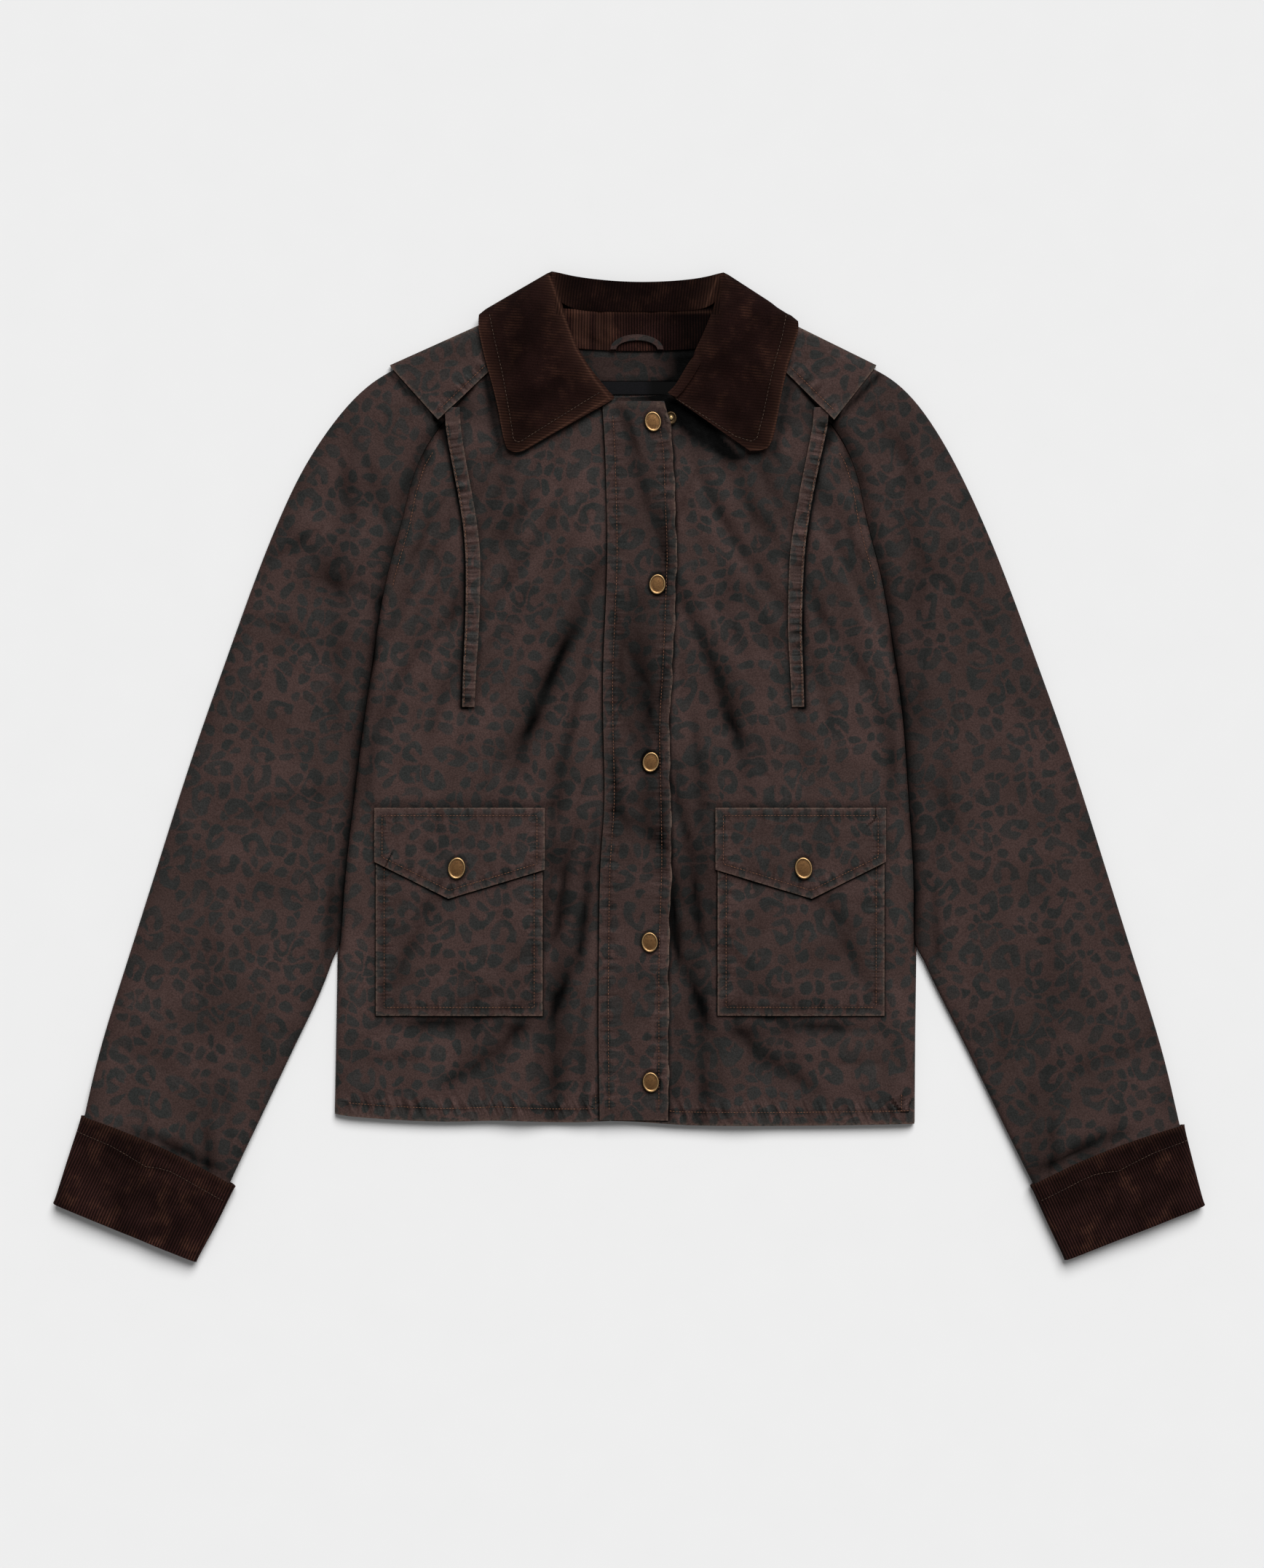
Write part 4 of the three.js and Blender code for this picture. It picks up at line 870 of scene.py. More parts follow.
# %%
laid = []  # the surface, as a BVH tree, of every piece that is already dressed
DOWN = Vector((0, 0, -1))
ABOVE_ALL = 0.08  # m
THICKEST = 0.006  # m, how deep a trim can be
NOTHING = -1.0  # the height where no piece lies
SHEETS = {
    # node, or kind of node: flat size in m, area in m2, what it rests on; {} is the side
    "back": ((0.485, 0.66), 0.27, ["floor"]),
    "front_right": ((0.24, 0.655), 0.126, ["back"]),
    "front_left": ((0.26, 0.655), 0.145, ["back"]),
    "sleeve": ((0.27, 0.7), 0.164, ["floor"]),
    "cuff": ((0.285, 0.072), 0.0205, ["floor", "sleeve{}"]),
    "storm_fly": ((0.062, 0.59), 0.034, ["front_right", "front_left"]),
    "chest_strip": ((0.014, 0.24), 0.0029, ["front{}"]),
    "pocket": ((0.14, 0.17), 0.0235, ["front{}"]),
    "pocket_flap": ((0.141, 0.078), 0.0086, ["pocket{}"]),
    "shoulder_flap_right": ((0.1, 0.06), 0.0048, ["sleeve_right", "front_right"]),
    "shoulder_flap_left": ((0.1, 0.06), 0.0046, ["sleeve_left", "front_left"]),
    "neck_lining": ((0.11, 0.0115), 0.001, ["back"]),
    "neck_facing": ((0.17, 0.027), 0.0034, ["back"]),
    "collar_stand": ((0.14, 0.037), 0.0045, ["neck_facing"]),
    "hanger_loop": ((0.01, 0.058), 0.00029, ["collar_stand"]),
    "collar": ((0.63, 0.11), 0.042, ["front_right", "front_left"]),
}


def surface_of(piece):
    with opened(piece.data) as bm:
        return BVHTree.FromBMesh(bm)


def parts_of(name):
    """The kind of a node, its half and the sign of its X: pocket_left is ("pocket", "_left", 1)."""
    kind = name.removesuffix("_right").removesuffix("_left")
    return kind, name[len(kind) :], -1 if name.endswith("_right") else 1


def height_under(trees, x, y):
    top = NOTHING
    for tree in trees:
        hit = tree.ray_cast(Vector((x * MM, y * MM, ABOVE_ALL)), DOWN)
        if hit[0] is not None:
            top = max(top, hit[0].z / MM)
    return top


def lie_on(piece, trees, gap=0.25):
    """Lifts the piece where it would dip into what is under it, keeping its thickness."""
    points = points_of(piece)
    up = normals_of(piece)[:, 2]
    own = surface_of(piece)
    for i, (x, y, z) in enumerate(points):
        ground = height_under(trees, x, y)
        if ground == NOTHING:
            continue
        need = ground + gap
        if up[i] > 0.2:
            inside = Vector((x * MM, y * MM, (z - 0.3) * MM))
            below = own.ray_cast(inside, DOWN, THICKEST)
            need += (z - below[0].z / MM) if below[0] is not None else 1.0
        points[i, 2] = max(z, need)
    put_points(piece, points)


def finish_piece(piece, material, node_name):
    kind, half, _ = parts_of(node_name)
    flat, area, rests_on = SHEETS.get(node_name) or SHEETS[kind]
    rests_on = [under.format(half) for under in rests_on]
    piece.data.materials.clear()
    for one in material if isinstance(material, list) else [material]:
        piece.data.materials.append(one)
    for name in ("pucker", "run", "wear_and_highlight", "painted_shade"):
        if piece.data.attributes.get(name) is None:
            write(piece, name, np.zeros(len(piece.data.vertices)))
    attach(piece, "root")
    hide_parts(node_name)
    laid.append(surface_of(piece))


seams, pale_seams = [], []  # (line in mm, stitch length in mm, how many pieces lay there by then)

back = shell_of("back", levels=0, rim=0.8)
points = points_of(back)
tuck = rise(points[:, 1], -160, 30) * fall(points[:, 1], 275, 30)
points[:, 0] += (0.7 + 2.6 * tuck) * np.sign(points[:, 0])
put_points(back, points)
finish_piece(back, COTTON["back"], "back")
print("back laid")

# %% [markdown]
# ## Fronts
#
# Each front takes its folds, dips along the armhole and gets painted shade beside whatever lies on
# it. The hem and the raglan line are sewn; the hem's stitches draw in small gathers.

# %%
OVER_FRONTS = [
    # piece on the front, how dark the painted shade beside it is, how far that reaches in mm
    ("chest_strip{}", 1.2, 3.2),
    ("pocket{}", 0.95, 1.1),
    ("pocket_flap{}", 0.4, 1.1),
    ("pocket{}", 0.25, 5.0),
    ("storm_fly", 0.95, 1.9),
]
HEM_STITCH, RAGLAN_STITCH = 2.5, 2.9  # mm long
HEM_DEPTH, RAGLAN_DEPTH = 11.0, 8.0  # mm from the edge
HEM_TOP = -270  # Y below which an edge belongs to the hem
ARMHOLE = (128, -150, 312)  # its least X on either side, and its lowest and highest Y
LOWEST = 2.6  # mm, the least height of a front over the table: the back lies under it
armholes = {}


for name, seed in (("front_right", 3), ("front_left", 11)):
    _, half, side = parts_of(name)
    piece = shell_of(name, rim=1.0)
    outline = outline_of(name)
    rims = [closed(outline_of(over + half)) for over in ("pocket", "chest_strip")]
    rims.append(closed(outline_of("storm_fly")))
    refine(piece, rims, 5.0)
    refine(piece, rims[:2], 3.0)
    points = points_of(piece)
    xy = points[:, :2]
    x, y = xy.T
    mirrored = (x, y) if side < 0 else on_right(x, y)
    edge_distance, _ = nearest_on(xy, closed(outline))
    inner = np.clip(np.abs(edge_distance) / 12, 0, 1)
    lift = creases(*mirrored, SHARED_CREASES, 1.45, True)
    lift += creases(x, y, FRONT_CREASES[name], 1.3, True)
    lift = 0.5 * lift + 0.75 * fan(*mirrored) + slack(x, y, seed)
    # Painted shade: in the creases' troughs, between the fan's folds, along the armhole, beside the
    # pieces that lie on the front, beside the stitches, and as the shadows of the collar and flaps
    painted_shade = dips(*mirrored, SHARED_CREASES) + dips(x, y, FRONT_CREASES[name])
    least, bottom, top = ARMHOLE
    edge = stretches(outline, 0.0, lambda u, v: side * u > least and bottom < v < top)
    armholes[half] = max(edge, key=len)
    tucked = beside_lines(xy, [armholes[half]], 4.5, 1.0)
    lift = lift * inner - 2.2 * tucked
    low = 1 - 0.6 * rise(y, 130, 60)
    painted_shade += creases(*mirrored, SHARED_PAINTED_SHADE) + 0.28 * np.clip(-fan(*mirrored), 0, 1)
    painted_shade += low * beside_lines(xy, [armholes[half]], 3.0, 0.55)
    points[:, 2] = np.maximum(points[:, 2] + lift, LOWEST)
    put_points(piece, points)
    for over, dark, reach in OVER_FRONTS:
        rim = outline_of(over.format(half))
        beyond = 1.0
        if over.startswith("chest"):
            beyond = np.where(side * (x - np.interp(y, *spine(rim))) > 0, 1.0, 0.35)
        painted_shade = both(painted_shade, beyond * beside_lines(xy, [closed(rim)], reach, dark))
    hem = stretches(outline, HEM_DEPTH, lambda u, v: v < HEM_TOP and abs(u) < 232)
    raglan = stretches(outline, RAGLAN_DEPTH, lambda u, v: 150 < v < 260 and side * u > 96)
    painted_shade += beside_lines(xy, hem, GROOVE, 0.5) + beside_lines(xy, raglan, GROOVE, 0.35)
    write(piece, "painted_shade", both(painted_shade, sheltered(x, y)))
    gather_along(piece, hem, reach=7.5, strength=1.5, skew=0.4)
    hem_edge = stretches(outline, 0.0, lambda u, v: v < HEM_TOP)
    wear_along(piece, [(line, 1.0, 0.35) for line in hem_edge])
    finish_piece(piece, COTTON[name], name)
    seams += [(line, HEM_STITCH, len(laid)) for line in hem]
    seams += [(line, RAGLAN_STITCH, len(laid)) for line in raglan]
    print(name, "points:", len(points), "sewn lines:", len(hem + raglan))

# %% [markdown]
# ## Sleeves and cuffs
#
# The creases are written for the wearer's right sleeve, where X is negative, and mirrored for the
# left. Only the upper layer moves; the lower one lies flat.

# %%
for name, seed in (("sleeve_right", 21), ("sleeve_left", 34)):
    _, half, side = parts_of(name)
    piece = shell_of(name, levels=2, rim=0.6)
    outline = closed(outline_of(name))
    refine(piece, [outline], 500.0)  # mm: all of the upper side
    points = points_of(piece)
    x, y, z = points.T
    # the lower layer stays, and the rims follow a little
    upper = rise(z, 5.0, 2.5)
    climb = rise(z, 2.5, 5)
    table = SLEEVE_CREASES[name] + LOW_SLEEVE_CREASES
    lift = creases(-side * x, y, table) + slack(x, y, seed, height=0.45)
    calm = rise(y, -352, 40)
    xy = points[:, :2]
    tucked = beside_lines(xy, [armholes[half]], 7.0, 1.0)
    lift = lift * climb * np.where(y < -300, calm, 1) - 2.4 * tucked
    # Painted shade: in the troughs and darker places of the tables, along the armhole, towards the
    # rounded edges and as the shadows of the shoulder flaps and armpits
    painted_shade = dips(-side * x, y, table) + creases(-side * x, y, SLEEVE_PAINTED_SHADE)
    low = 1 - 0.5 * rise(y, 130, 60)
    painted_shade += low * beside_lines(xy, [armholes[half]], 5.0, 0.8)
    painted_shade += beside_lines(xy, [outline], 9.0, 0.22)
    points[:, 2] = z + lift * upper
    points[:, 0] = x - side * 2.4 * tucked
    put_points(piece, points)
    write(piece, "painted_shade", both(painted_shade, sheltered(x, y)))
    finish_piece(piece, COTTON[name], name)
    print(name, "points:", len(points))

# The free edge of each cuff, from its outer corner to its inner one.
CUFF_EDGE = {
    "cuff_right": ((-452, -286.5), (-324.6, -345)),
    "cuff_left": ((457.5, -294), (330, -344.5)),
}
CUFF_STITCH = 3.0  # mm
CUFF_STITCHES = [
    # share of the way along the free edge, mm below it
    (0.02, 13.4), (0.24, 12.4), (0.34, 13.6), (0.48, 15.8), (0.55, 12.9), (0.62, 11.2), (0.7, 11.6),
    (0.8, 13.0), (0.98, 15.2),
]
CUFF_DIPS = [
    # the same two measures at both ends of a trough, then bow, width and lift
    (0.26, 17.5, 0.5, 19.0, 2, 3.5, -1.2), (0.5, 16.0, 0.6, 14.5, 0, 3.0, -0.9),
    (0.1, 22.0, 0.35, 30.0, 2, 8.0, -0.8), (0.6, 24.0, 0.75, 44.0, -3, 9.0, -0.9),
    (0.3, 48.0, 0.6, 54.0, 2, 8.0, -0.7), (0.52, 22.0, 0.58, 30.0, 0, 7.0, 0.9),
    (0.36, 32.0, 0.44, 46.0, 1, 7.0, 0.8), (0.5, 62.0, 0.6, 58.0, 2, 6.0, 0.8),
]


def on_cuff(name, share, below):
    """A point of the cuff from its share of the way along the free edge and the mm below it."""
    outer, inner = CUFF_EDGE[name]
    ahead = np.subtract(inner, outer)
    down = np.array([ahead[1], -ahead[0]]) * np.sign(ahead[0]) / np.hypot(*ahead)
    return tuple(np.add(outer, share * ahead) + below * down)


for name in CUFF_EDGE:
    piece = shell_of(name, rim=0.9)
    points = points_of(piece)
    x, y, z = points.T
    upper = rise(z, 8, 4)
    _, _, side = parts_of(name)
    rows = [
        (*on_cuff(name, a, b), *on_cuff(name, c, d), -side * bow, width, lift)
        for a, b, c, d, bow, width, lift in CUFF_DIPS
    ]
    points[:, 2] = z + upper * (creases(x, y, rows) - 0.5 - slack(x, y, 5, (18, 60), 0.35))
    put_points(piece, points)
    line = np.array([on_cuff(name, *row) for row in CUFF_STITCHES])
    shares = np.linspace(0, 1, 9)
    rim = [on_cuff(name, share, 1.5 - 4 * math.sin(math.pi * share)) for share in shares]
    # Painted shade in the troughs, along the free edge and beside the stitches
    painted_shade = 0.8 * dips(x, y, rows) + beside_lines(points[:, :2], [rim], 9.0, 0.4)
    painted_shade += beside_lines(points[:, :2], [line], GROOVE, 0.3)
    write(piece, "painted_shade", np.clip(painted_shade, 0, 1) * upper)
    wear_along(piece, [(rim, 1.2, 0.5)])
    finish_piece(piece, CORD[name], name)
    pale_seams.append((line, CUFF_STITCH, len(laid)))
print("cuffs laid")

# %% [markdown]
# ## Fly, strips, pockets and flaps
#
# Each trim lies on what is under it and is sewn down near its edges.

# %%
TRIMS = [
    # node, material, stitch inset, sewn where, crease seed
    ("storm_fly", "fly", 8.0, "sides", 41),
    ("chest_strip_right", "trims", 1.3, "outer", 42),
    ("chest_strip_left", "trims", 1.3, "outer", 43),
    ("pocket_right", "pockets", 7.0, "not top", 44),
    ("pocket_left", "pockets", 7.0, "not top", 45),
    ("pocket_flap_right", "pockets", 6.5, "all", 46),
    ("pocket_flap_left", "pockets", 6.5, "all", 47),
    ("shoulder_flap_right", "trims", 5.5, "inner", 48),
    ("shoulder_flap_left", "trims", 5.5, "inner", 49),
]
TRIM_STITCH = 2.7  # mm
FLY_EDGE, FLY_TOP = 24, 290  # X and Y at which its free edge and its top begin
STUD_LEVEL = 288  # Y of the neck stud
POCKET_CREASES = [
    (152, -108, 172, -124, 1, 6, -1.4), (170, -122, 184, -158, 2, 7, -1.8),
    (184, -156, 208, -194, 2, 6, -1.5), (72, -148, 92, -161, -1, 5, -1.6),
    (82, -176, 112, -186, 2, 10, -1.4), (76, -195, 100, -199, 0, 5, -1.1),
    (118, -190, 142, -194, 0, 5, -0.7), (103, -100, 108, -136, 1, 4, -0.7),
    (184, -112, 200, -112, 1, 4, -0.7), (188, -134, 204, -134, 0, 4, -0.6),
    (86, -106, 92, -138, 2, 9, 1.0), (164, -146, 114, -176, 5, 16, 1.3),
    (196, -188, 178, -202, 2, 9, 1.1),
]
FLAP_CREASES = [
    (158, -38, 166, -56, 1, 4, -0.8), (158, -50, 156, -76, 2, 5, -0.9),
    (106, -38, 108, -52, 0, 4, -0.7), (114, -78, 104, -92, 0, 6, -0.5),
    (188, -46, 176, -78, 3, 9, 0.7), (96, -50, 82, -76, 3, 9, 0.7),
]
# Painted shade on the fly: x1, y1, x2, y2, bow, width and how dark, 0 to 1
FLY_PAINTED_SHADE = [
    (8, 116, 12, 42, 0, 22, 0.45), (10, 84, 12, 60, 0, 12, 0.2), (18, 4, 22, -60, 0, 15, 0.35),
    (-12, -6, -8, -60, 0, 8, 0.2), (26, 200, 28, 150, 0, 8, 0.2),
]
SNAPS = [f"fly_snap_{k}" for k in range(1, 6)] + ["pocket_snap_right", "pocket_snap_left"]


def round_snaps(xy):
    """The painted shade on the ring of cloth round each cap and the stud, 0 to 1."""
    shade = np.zeros(len(xy))
    for snap in SNAPS + ["neck_stud"]:
        low, high = (np.array(corner[:2]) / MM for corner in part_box(snap))
        away = np.hypot(*((xy - (low + high) / 2) / ((high - low) / 2)).T)
        shade = np.maximum(shade, 0.75 * bell(away - 1.05, 0.2))
    return shade


TRIM_CREASES = {"storm_fly": FLY_CREASES, "pocket": POCKET_CREASES, "pocket_flap": FLAP_CREASES}
WHERE = {
    # where each trim is sewn: it gets its lowest and highest Y and its lowest corner
    "all": lambda low, high, tip: lambda u, v: True,
    "sides": lambda low, high, tip: lambda u, v: low + 9 < v < high - 9,
    "not top": lambda low, high, tip: lambda u, v: v < high - 9,
    "outer": lambda low, high, tip: lambda u, v: low + 3 < v < high - 3,
    "inner": lambda low, high, tip: lambda u, v: (
        abs(u) < abs(tip[0]) and v < tip[1] + abs(tip[0]) - abs(u) + 14
    ),
}
for name, cloth, deep, sewn, seed in TRIMS:
    kind, half, side = parts_of(name)
    fly, strip = kind == "storm_fly", kind == "chest_strip"
    piece = shell_of(name, rim=0.55)
    outline = outline_of(name)
    ring = closed(outline)
    over = [closed(outline_of("pocket_flap" + half))] if kind == "pocket" else []
    refine(piece, over, 6.0)
    refine(piece, over, 3.0)
    points = points_of(piece)
    x, y = points[:, 0], points[:, 1]
    distance, _ = nearest_on(points[:, :2], ring)
    inner = np.clip(np.abs(distance) / 7, 0.15, 1)
    table = TRIM_CREASES.get(kind, [])
    away = x if fly else side * x
    points[:, 2] += inner * (0.7 * creases(away, y, table) + slack(x, y, seed, (14, 50), 0.3))
    if fly:
        wave = 0.5 * np.sin(y / 8.5) + 0.35 * np.sin(y / 3.7 + 1)
        points[:, 0] += wave * rise(x, FLY_EDGE, 8)
        points[:, 1] += 3.0 * rise(y, FLY_TOP, 6)
        beside_stud = rise(x, FLY_EDGE, 8) * bell(y - STUD_LEVEL, 12)
        points[:, 0] += 1.4 * beside_stud
        points[:, 2] += 2.6 * beside_stud
    if strip:  # its outer edge stands off, and its end runs on under the shoulder flap
        points[:, 2] += 0.9 * np.clip(side * (x - np.interp(y, *spine(outline))) / 5, 0, 1)
        points[:, 1] += 10.0 * np.clip((y - y.max() + 5) / 5, 0, 1)
    put_points(piece, points)
    lie_on(piece, laid)
    tip = min(outline, key=lambda corner: corner[1])
    lines = stretches(outline, deep, WHERE[sewn](tip[1], max(v for _, v in outline), tip))
    if strip:
        lines = [line for line in lines if np.ptp(line[:, 1]) > 100]
        lines = sorted(lines, key=lambda line: side * np.median(line[:, 0]))[-1:]
    xy = points[:, :2]
    # Painted shade in the troughs, beside the stitches, round the caps, on the fly's darker places,
    # under the flap's edge on the pocket and on the rims where they turn away from above
    painted_shade = 0.8 * dips(away, y, table) + beside_lines(xy, lines, GROOVE, 0.45) + round_snaps(xy)
    if fly:
        painted_shade += creases(x, y, FLY_PAINTED_SHADE)
    painted_shade += beside_lines(xy, over, 1.3, 0.9) + beside_lines(xy, over, 4.0, 0.35)
    painted_shade += 0.8 * np.clip((0.85 - normals_of(piece)[:, 2]) / 0.4, 0, 1)
    write(piece, "painted_shade", np.clip(painted_shade, 0, 1))
    gather_along(piece, lines, reach=9.0 if strip else 6.5, strength=1.8 if strip else 1.0)
    # the stretches of an edge on which the cloth has frayed pale
    wear_and_highlight = [beside(lines[0], -1.3)] if strip else []
    if fly:
        wear_and_highlight = stretches(outline, 0.0, lambda u, v: u > 22 or v > 312)
    # pale rims all round, as wear and in part a painted highlight on the folded edge, and the
    # frayed stretches
    wear_along(piece, [(ring, 0.9, 0.15 if fly else 0.45)] + [(line, 0.8, 0.6) for line in wear_and_highlight])
    finish_piece(piece, COTTON[cloth], name)
    seams += [(line, TRIM_STITCH, len(laid)) for line in lines]
    print(name, "points:", len(points), "sewn lines:", [len(line) for line in lines])

# %% [markdown]
# ## Inside of the neck, collar and hanger loop

# %%
STAND_CREASES = [
    (-52, 372, -30, 352, 2, 5, -1.0), (-24, 374, -20, 356, 1, 4, -0.9),
    (-44, 356, -20, 348, 1, 4, -0.6), (18, 376, 24, 360, 1, 5, -0.8),
    (36, 372, 30, 352, 1, 5, -0.8), (-38, 370, -22, 360, 1, 5, 0.6),
]
lining = shell_of("neck_lining", rim=0.3)
# the label's right end is darkened as painted shadow under the collar's leaf
write(lining, "painted_shade", np.clip((points_of(lining)[:, 0] - 12) / 8, 0, 0.95))
finish_piece(lining, LINING, "neck_lining")

facing = shell_of("neck_facing", rim=0.4)
x, y, _ = points_of(facing).T
points = points_of(facing)
under_stand = rise(y, 338, 4)
points[:, 1] += 3.5 * under_stand
points[:, 2] -= 0.5 * under_stand
put_points(facing, points)
# Painted shade: darkest at the right end, in the left leaf's shadow, and darker at the left end and
# along the lower edge
painted_shade = 1.1 * rise(x, 10, 32) ** 1.4
painted_shade += np.clip((-26 - x) / 22, 0, 0.4) + np.clip((324 - y) / 14, 0, 0.6)
write(facing, "painted_shade", np.clip(painted_shade, 0, 1))
finish_piece(facing, COTTON["facing"], "neck_facing")

stand = shell_of("collar_stand", rim=0.6)
points = points_of(stand)
x, y, _ = points.T
up_to_band = rise(y, 367, 8)
points[:, 2] += creases(x, y, STAND_CREASES) + 0.9 * up_to_band
points[:, 1] += 2.0 * up_to_band
put_points(stand, points)
# painted shade: the right end lies in the left leaf's shadow; the troughs darker too
write(stand, "painted_shade", np.clip(dips(x, y, STAND_CREASES) + np.clip((x - 22) / 26, 0, 0.95), 0, 1))
# lighter bands of pile on the left and a pale line at the band's seam: in part rubbed pile and in
# part a painted highlight
bands = 0.5 + 0.5 * np.sin(x / 2.1) * np.sin(x / 5.3 + 1)
write(stand, "wear_and_highlight", 0.55 * fall(x, 4, 30) * bands + 0.35 * bell(y - 375, 1.2))
finish_piece(stand, CORD["stand"], "collar_stand")

loop = shell_of("hanger_loop", rim=0.4)
# the loop darkened evenly all over
write(loop, "painted_shade", np.full(len(loop.data.vertices), 0.3))
finish_piece(loop, COTTON["trims"], "hanger_loop")

# Free edges of the two leaves, from the neck to the shoulder, their inner edges, and the stitches.
LEAF_EDGES = [
    [(-19, 302), (-59, 277.5), (-90, 259.5), (-98, 258.5), (-102, 262), (-107.4, 294), (-118, 334)]
    + [(-124.4, 364.5)],
    [(33, 301.5), (66.6, 276.3), (84, 264.3), (95, 260.7), (108, 260.7), (115, 262.7), (121.6, 288)]
    + [(129.6, 331), (139, 359)],
    [(-66, 405), (-56, 376), (-44, 344), (-28, 318), (-16, 303)],
    [(73, 404), (62, 376), (52, 346), (40, 322), (28, 306)],
]
LEAF_STITCHES = [
    [(-24, 308.1), (-49.1, 292.6), (-72.2, 278.2), (-88, 268.4), (-92, 267), (-95, 269.5)]
    + [(-98.3, 290.7), (-104.1, 323.5), (-110.8, 352.4), (-114.7, 371.7)],
    [(37.7, 303.2), (62.8, 287.8), (87.9, 271.8), (100, 268), (105, 270), (110.1, 288.8)]
    + [(114.5, 310), (119.7, 333.1), (125.5, 352.4), (129, 370.8)],
]
COLLAR_STITCH = 3.2  # mm
LEAF_CREASES = [
    (36, 292, 80, 262, 0, 9, 3.0), (-86, 366, -80, 318, 3, 10, 1.0),
    (-62, 372, -66, 330, 2, 9, -1.0), (98, 372, 92, 322, 3, 10, 0.9),
    (72, 356, 76, 318, 2, 8, -0.8),
]

# The collar is one piece of corduroy folded over. Its wales run from the fold to the free edge,
# so each leaf and the band inside the neck takes the cloth in its own direction.
collar = shell_of("collar", rim=0.9)
points = points_of(collar)
x, y, z = points.T
leaf = rise(z, 9, 3)
points[:, 2] = z + leaf * (slack(x, y, 61, (20, 70), 0.5) + creases(x, y, LEAF_CREASES))
put_points(collar, points)
# pale rims along every edge of the leaves and a broader lighter band inside them: in part rubbed
# pile and in part a painted highlight where the pile catches light
wear_along(collar, [row for line in LEAF_EDGES for row in ((line, 1.2, 0.9), (line, 7.0, 0.35))])
# painted shade in the grooves beside the stitches
grooves = beside_lines(points[:, :2], [np.array(line) for line in LEAF_STITCHES], GROOVE, 0.45)
write(collar, "painted_shade", grooves * leaf)
finish_piece(collar, [CORD["leaf_right"], CORD["leaf_left"], CORD["band"]], "collar")
centres = np.empty(len(collar.data.polygons) * 3, dtype=np.float32)
collar.data.polygons.foreach_get("center", centres)
cx, cy, _ = (centres.reshape(-1, 3) / MM).T
behind = (np.abs(cx - 7) < 68) & (cy > 372)
cloth = np.where(behind, 2, np.where(cx < 7, 0, 1))  # which of the three corduroys
collar.data.polygons.foreach_set("material_index", cloth.astype(np.int32))
pale_seams += [(np.array(line), COLLAR_STITCH, len(laid)) for line in LEAF_STITCHES]
print("collar points:", len(points))

# %% [markdown]
# ## Stitches
#
# A stitch is a short bead of thread, sunk a little in the cloth. Each row rides on the highest
# piece that lay there when it was sewn, tilts with its slope, and ends where a later piece covers
# it.


# %%
def stitch_shape(length, radius=0.27, sides=5):
    """The points of a bead of thread along X, in mm, and its faces."""
    rings = [(-0.5, 0.0), (-0.4, 0.7), (0.0, 1.0), (0.4, 0.7), (0.5, 0.0)]
    points, faces = [], []
    for at, wide in rings:
        for k in range(sides):
            turn, out = 2 * math.pi * k / sides, wide * radius
            points.append((at * length, out * math.cos(turn), out * math.sin(turn)))
    for r in range(len(rings) - 1):
        for k in range(sides):
            a, b = r * sides + k, r * sides + (k + 1) % sides
            faces.append((a, b, b + sides, a + sides))
    return np.array(points), faces


def sew(name, rows, thread):
    points, faces = [], []
    for line, pitch, count in rows:
        at, _ = spaced(line, pitch)
        if len(at) < 3:
            continue
        shape, shape_faces = stitch_shape(pitch * 0.74)
        heights = np.array([height_under(laid[:count], x, y) for x, y in at])
        covers = np.array([height_under(laid[count:], x, y) for x, y in at])
        ahead = np.gradient(at, axis=0)
        ahead /= np.hypot(*ahead.T)[:, None]
        rise = np.gradient(heights) / pitch
        for (x, y), (ux, uy), z, slope, cover in zip(at, ahead, heights, rise, covers):
            if z < max(1, cover):
                continue
            base = len(points) * len(shape)
            along = np.array([ux, uy, np.clip(slope, -0.8, 0.8)])
            along /= np.linalg.norm(along)
            left = np.array([-uy, ux, 0.0])
            points.append(shape @ np.stack([along, left, np.cross(along, left)]) + (x, y, z + 0.08))
            faces += [tuple(base + i for i in face) for face in shape_faces]
    mesh = bpy.data.meshes.new(name)
    mesh.from_pydata((np.vstack(points) * MM).tolist(), [], faces)
    mesh.shade_smooth()
    mesh.materials.append(thread)
    made = linked(name, mesh)
    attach(made, "root")
    print(name, "stitches:", len(points), "triangles:", 2 * len(faces))


sew("topstitching", seams, RUST_THREAD)
sew("corduroy_stitching", pale_seams, PALE_THREAD)

# %% [markdown]
# ## Snap caps
#
# A pressed brass cap: a rolled rim, a shallow groove and a nearly flat middle. The caps are bare.


# %%
def oval_of(node_name):
    """Middle, half width, half height and their directions of a packed cap seen from above."""
    points = np.array([vertex.co[:2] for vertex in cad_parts[node_name].data.vertices])
    middle = (points.min(axis=0) + points.max(axis=0)) / 2
    _, ways = np.linalg.eigh(np.cov((points - middle).T))
    halves = np.abs((points - middle) @ ways).max(axis=0)
    return middle, halves, ways.T


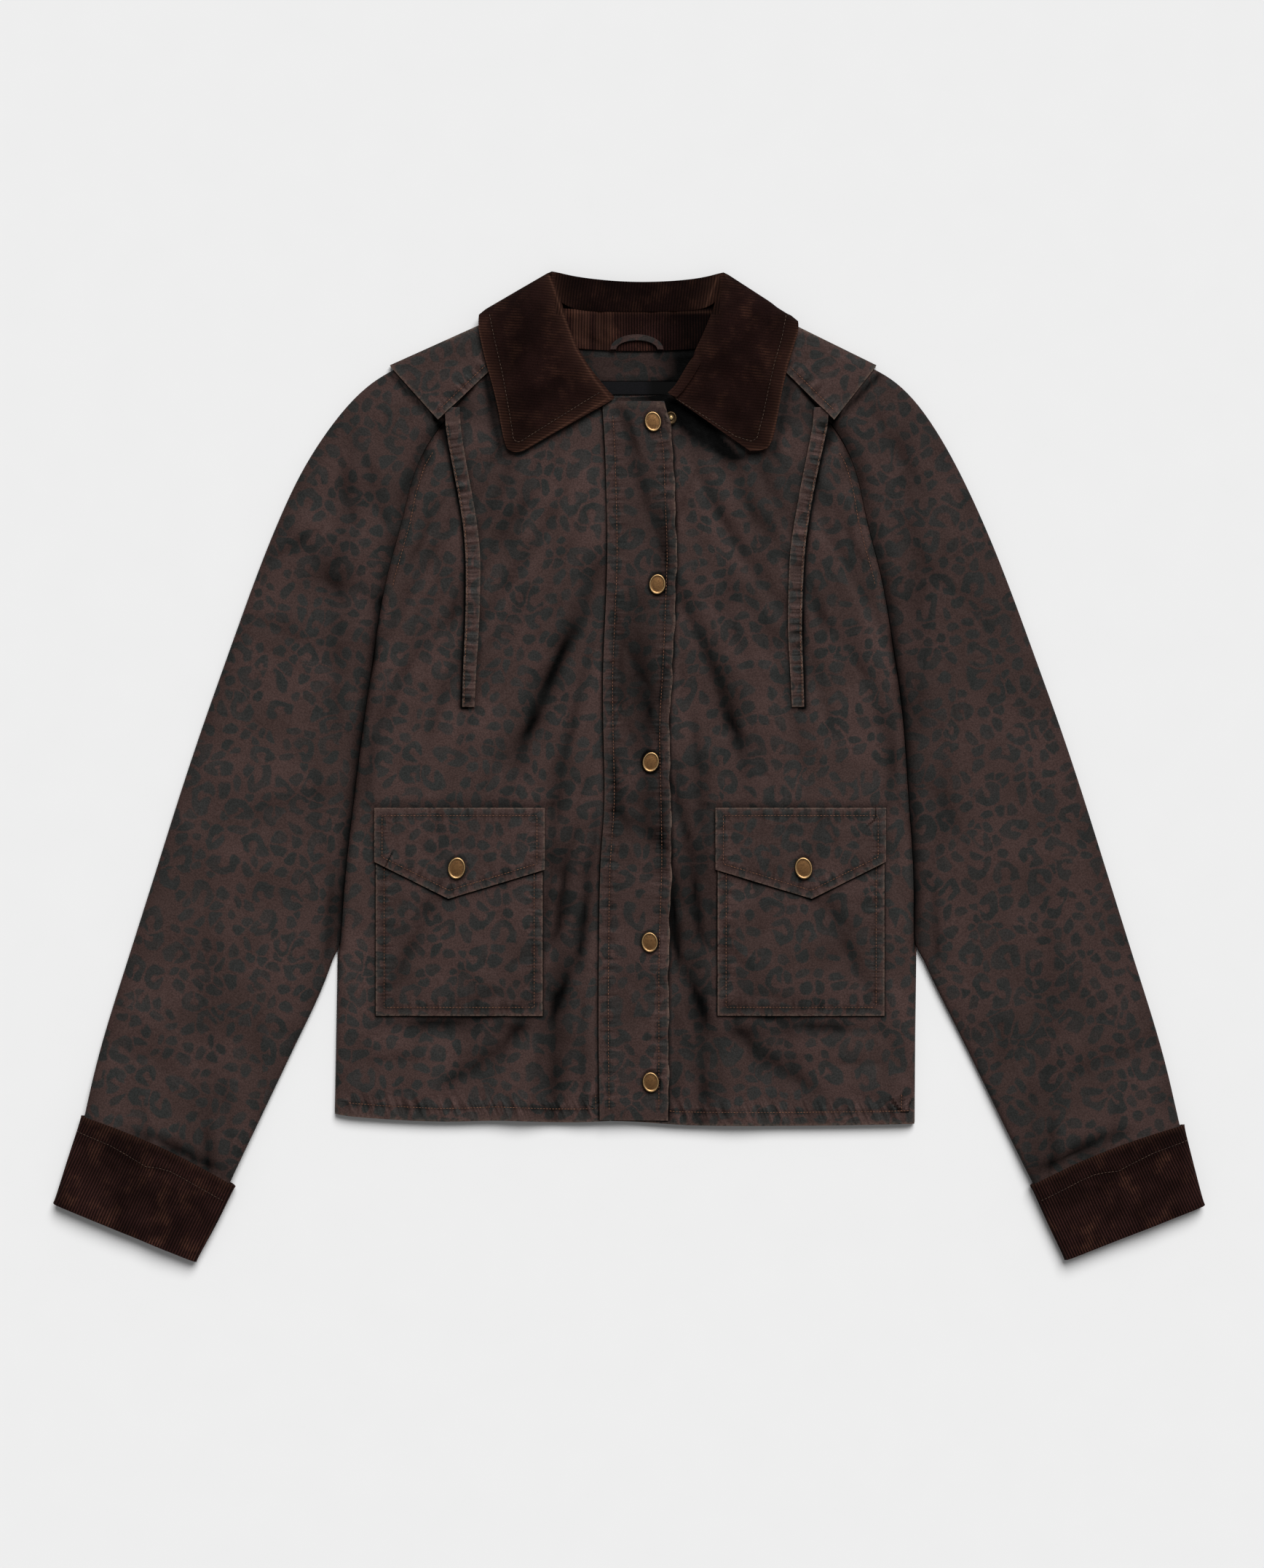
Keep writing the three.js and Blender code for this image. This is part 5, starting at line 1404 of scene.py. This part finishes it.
def turned(name, profile, node_name, brass, bright, steps=56):
    """An oval cap from a profile of (share of the half width, height in mm) from under to top."""
    middle, halves, ways = oval_of(node_name)
    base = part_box(node_name)[0].z
    turns = np.linspace(0, 2 * math.pi, steps, endpoint=False)
    ring = np.stack([np.cos(turns) * halves[0], np.sin(turns) * halves[1]], axis=1) @ ways
    points = [
        np.column_stack([middle + share * ring, np.full(steps, base + z * MM)])
        for share, z in profile
    ]
    faces = []
    for r in range(len(profile) - 1):
        for k in range(steps):
            n = (k + 1) % steps
            faces.append((r * steps + k, r * steps + n, (r + 1) * steps + n, (r + 1) * steps + k))
    mesh = bpy.data.meshes.new(name)
    mesh.from_pydata(np.vstack(points).tolist(), [], faces)
    with opened(mesh, mesh) as bm:
        bmesh.ops.remove_doubles(bm, verts=bm.verts, dist=WELD / 10)
        bmesh.ops.recalc_face_normals(bm, faces=bm.faces)
    mesh.shade_smooth()
    mesh.materials.append(brass)
    made = linked(name, mesh)
    share = np.hypot(*(((points_of(made)[:, :2] * MM - middle) @ ways.T) / halves).T)
    # a pale ring at the share `bright` of the way out: on the caps' rolled rims a painted highlight
    # with wear, on the stud's post a painted highlight
    write(made, "wear_and_highlight", bell(share - bright, 0.07))
    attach(made, "root")
    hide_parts(node_name)


CAP = [
    (0, 0), (0.88, 0), (0.96, 0.4), (0.995, 0.9), (0.99, 1.5), (0.95, 2.0), (0.9, 2.28),
    (0.85, 2.3), (0.81, 2.1), (0.77, 1.92), (0.72, 1.9), (0.55, 2.0), (0.3, 2.08), (0.12, 2.1),
    (0, 2.1),
]
STUD = [
    (0, 0), (0.9, 0), (0.99, 0.3), (0.98, 0.6), (0.86, 0.85), (0.7, 0.7), (0.55, 0.45),
    (0.36, 0.45), (0.3, 0.8), (0.2, 0.92), (0, 0.92),
]
for name in SNAPS:
    turned(name + "_cap", CAP, name, CAP_BRASS, 0.88)
turned("neck_stud_ring", STUD, "neck_stud", SHADED_STUD_BRASS, 0.22)
print("snap caps:", len(SNAPS))

# %% [markdown]
# ## Table, light and camera
#
# A pale table, one broad light that comes in low from beyond the collar, a weak even light from all
# round, and a camera straight above.

# %%
floor_mesh = bpy.data.meshes.new("floor")
floor_mesh.from_pydata([(-4, -4, 0), (4, -4, 0), (4, 4, 0), (-4, 4, 0)], [], [(0, 1, 2, 3)])
floor = linked("floor", floor_mesh)
paper, shader = new_material("pale paper")
fibre = noise(millimetres(), 40.0)
paleness = mixed(fibre, linear("#e6e6e6"), linear("#e8e8e8"))
fill(shader, Base_Color=paleness, Roughness=1.0, Specular_IOR_Level=0.0)
floor_mesh.materials.append(paper)

world = bpy.data.worlds.new("studio")
bpy.context.scene.world = world
world.use_nodes = True
fill(world.node_tree.nodes["Background"], Color=linear("#f4f4f4"), Strength=0.25)

key_data = bpy.data.lights.new("key", "SUN")
key_data.angle = math.radians(40)
key_data.energy = 3.5
key = linked("key", key_data)
key.rotation_mode = "QUATERNION"
key.rotation_quaternion = Vector((-0.2, -0.62, -0.76)).to_track_quat("-Z", "Y")
key.location = (-0.5, 2.0, 2.0)

camera_data = bpy.data.cameras.new("camera")
camera = linked("camera", camera_data)
bpy.context.scene.camera = camera
camera_data.lens = 85
camera_data.sensor_width = 36
FRAME_LONG_SIDE = 1.2924  # metres of table that the camera takes in, from top to bottom
MIDDLE = (0.0024, -0.0141)  # m, what the camera is right above
CLOTH_HEIGHT = 0.008  # m
distance = camera_data.lens / camera_data.sensor_width * FRAME_LONG_SIDE
camera.location = (*MIDDLE, CLOTH_HEIGHT + distance)
bpy.context.scene.view_settings.view_transform = "Standard"
bpy.context.scene.view_settings.look = "None"
print("camera height:", round(camera.location.z, 3))
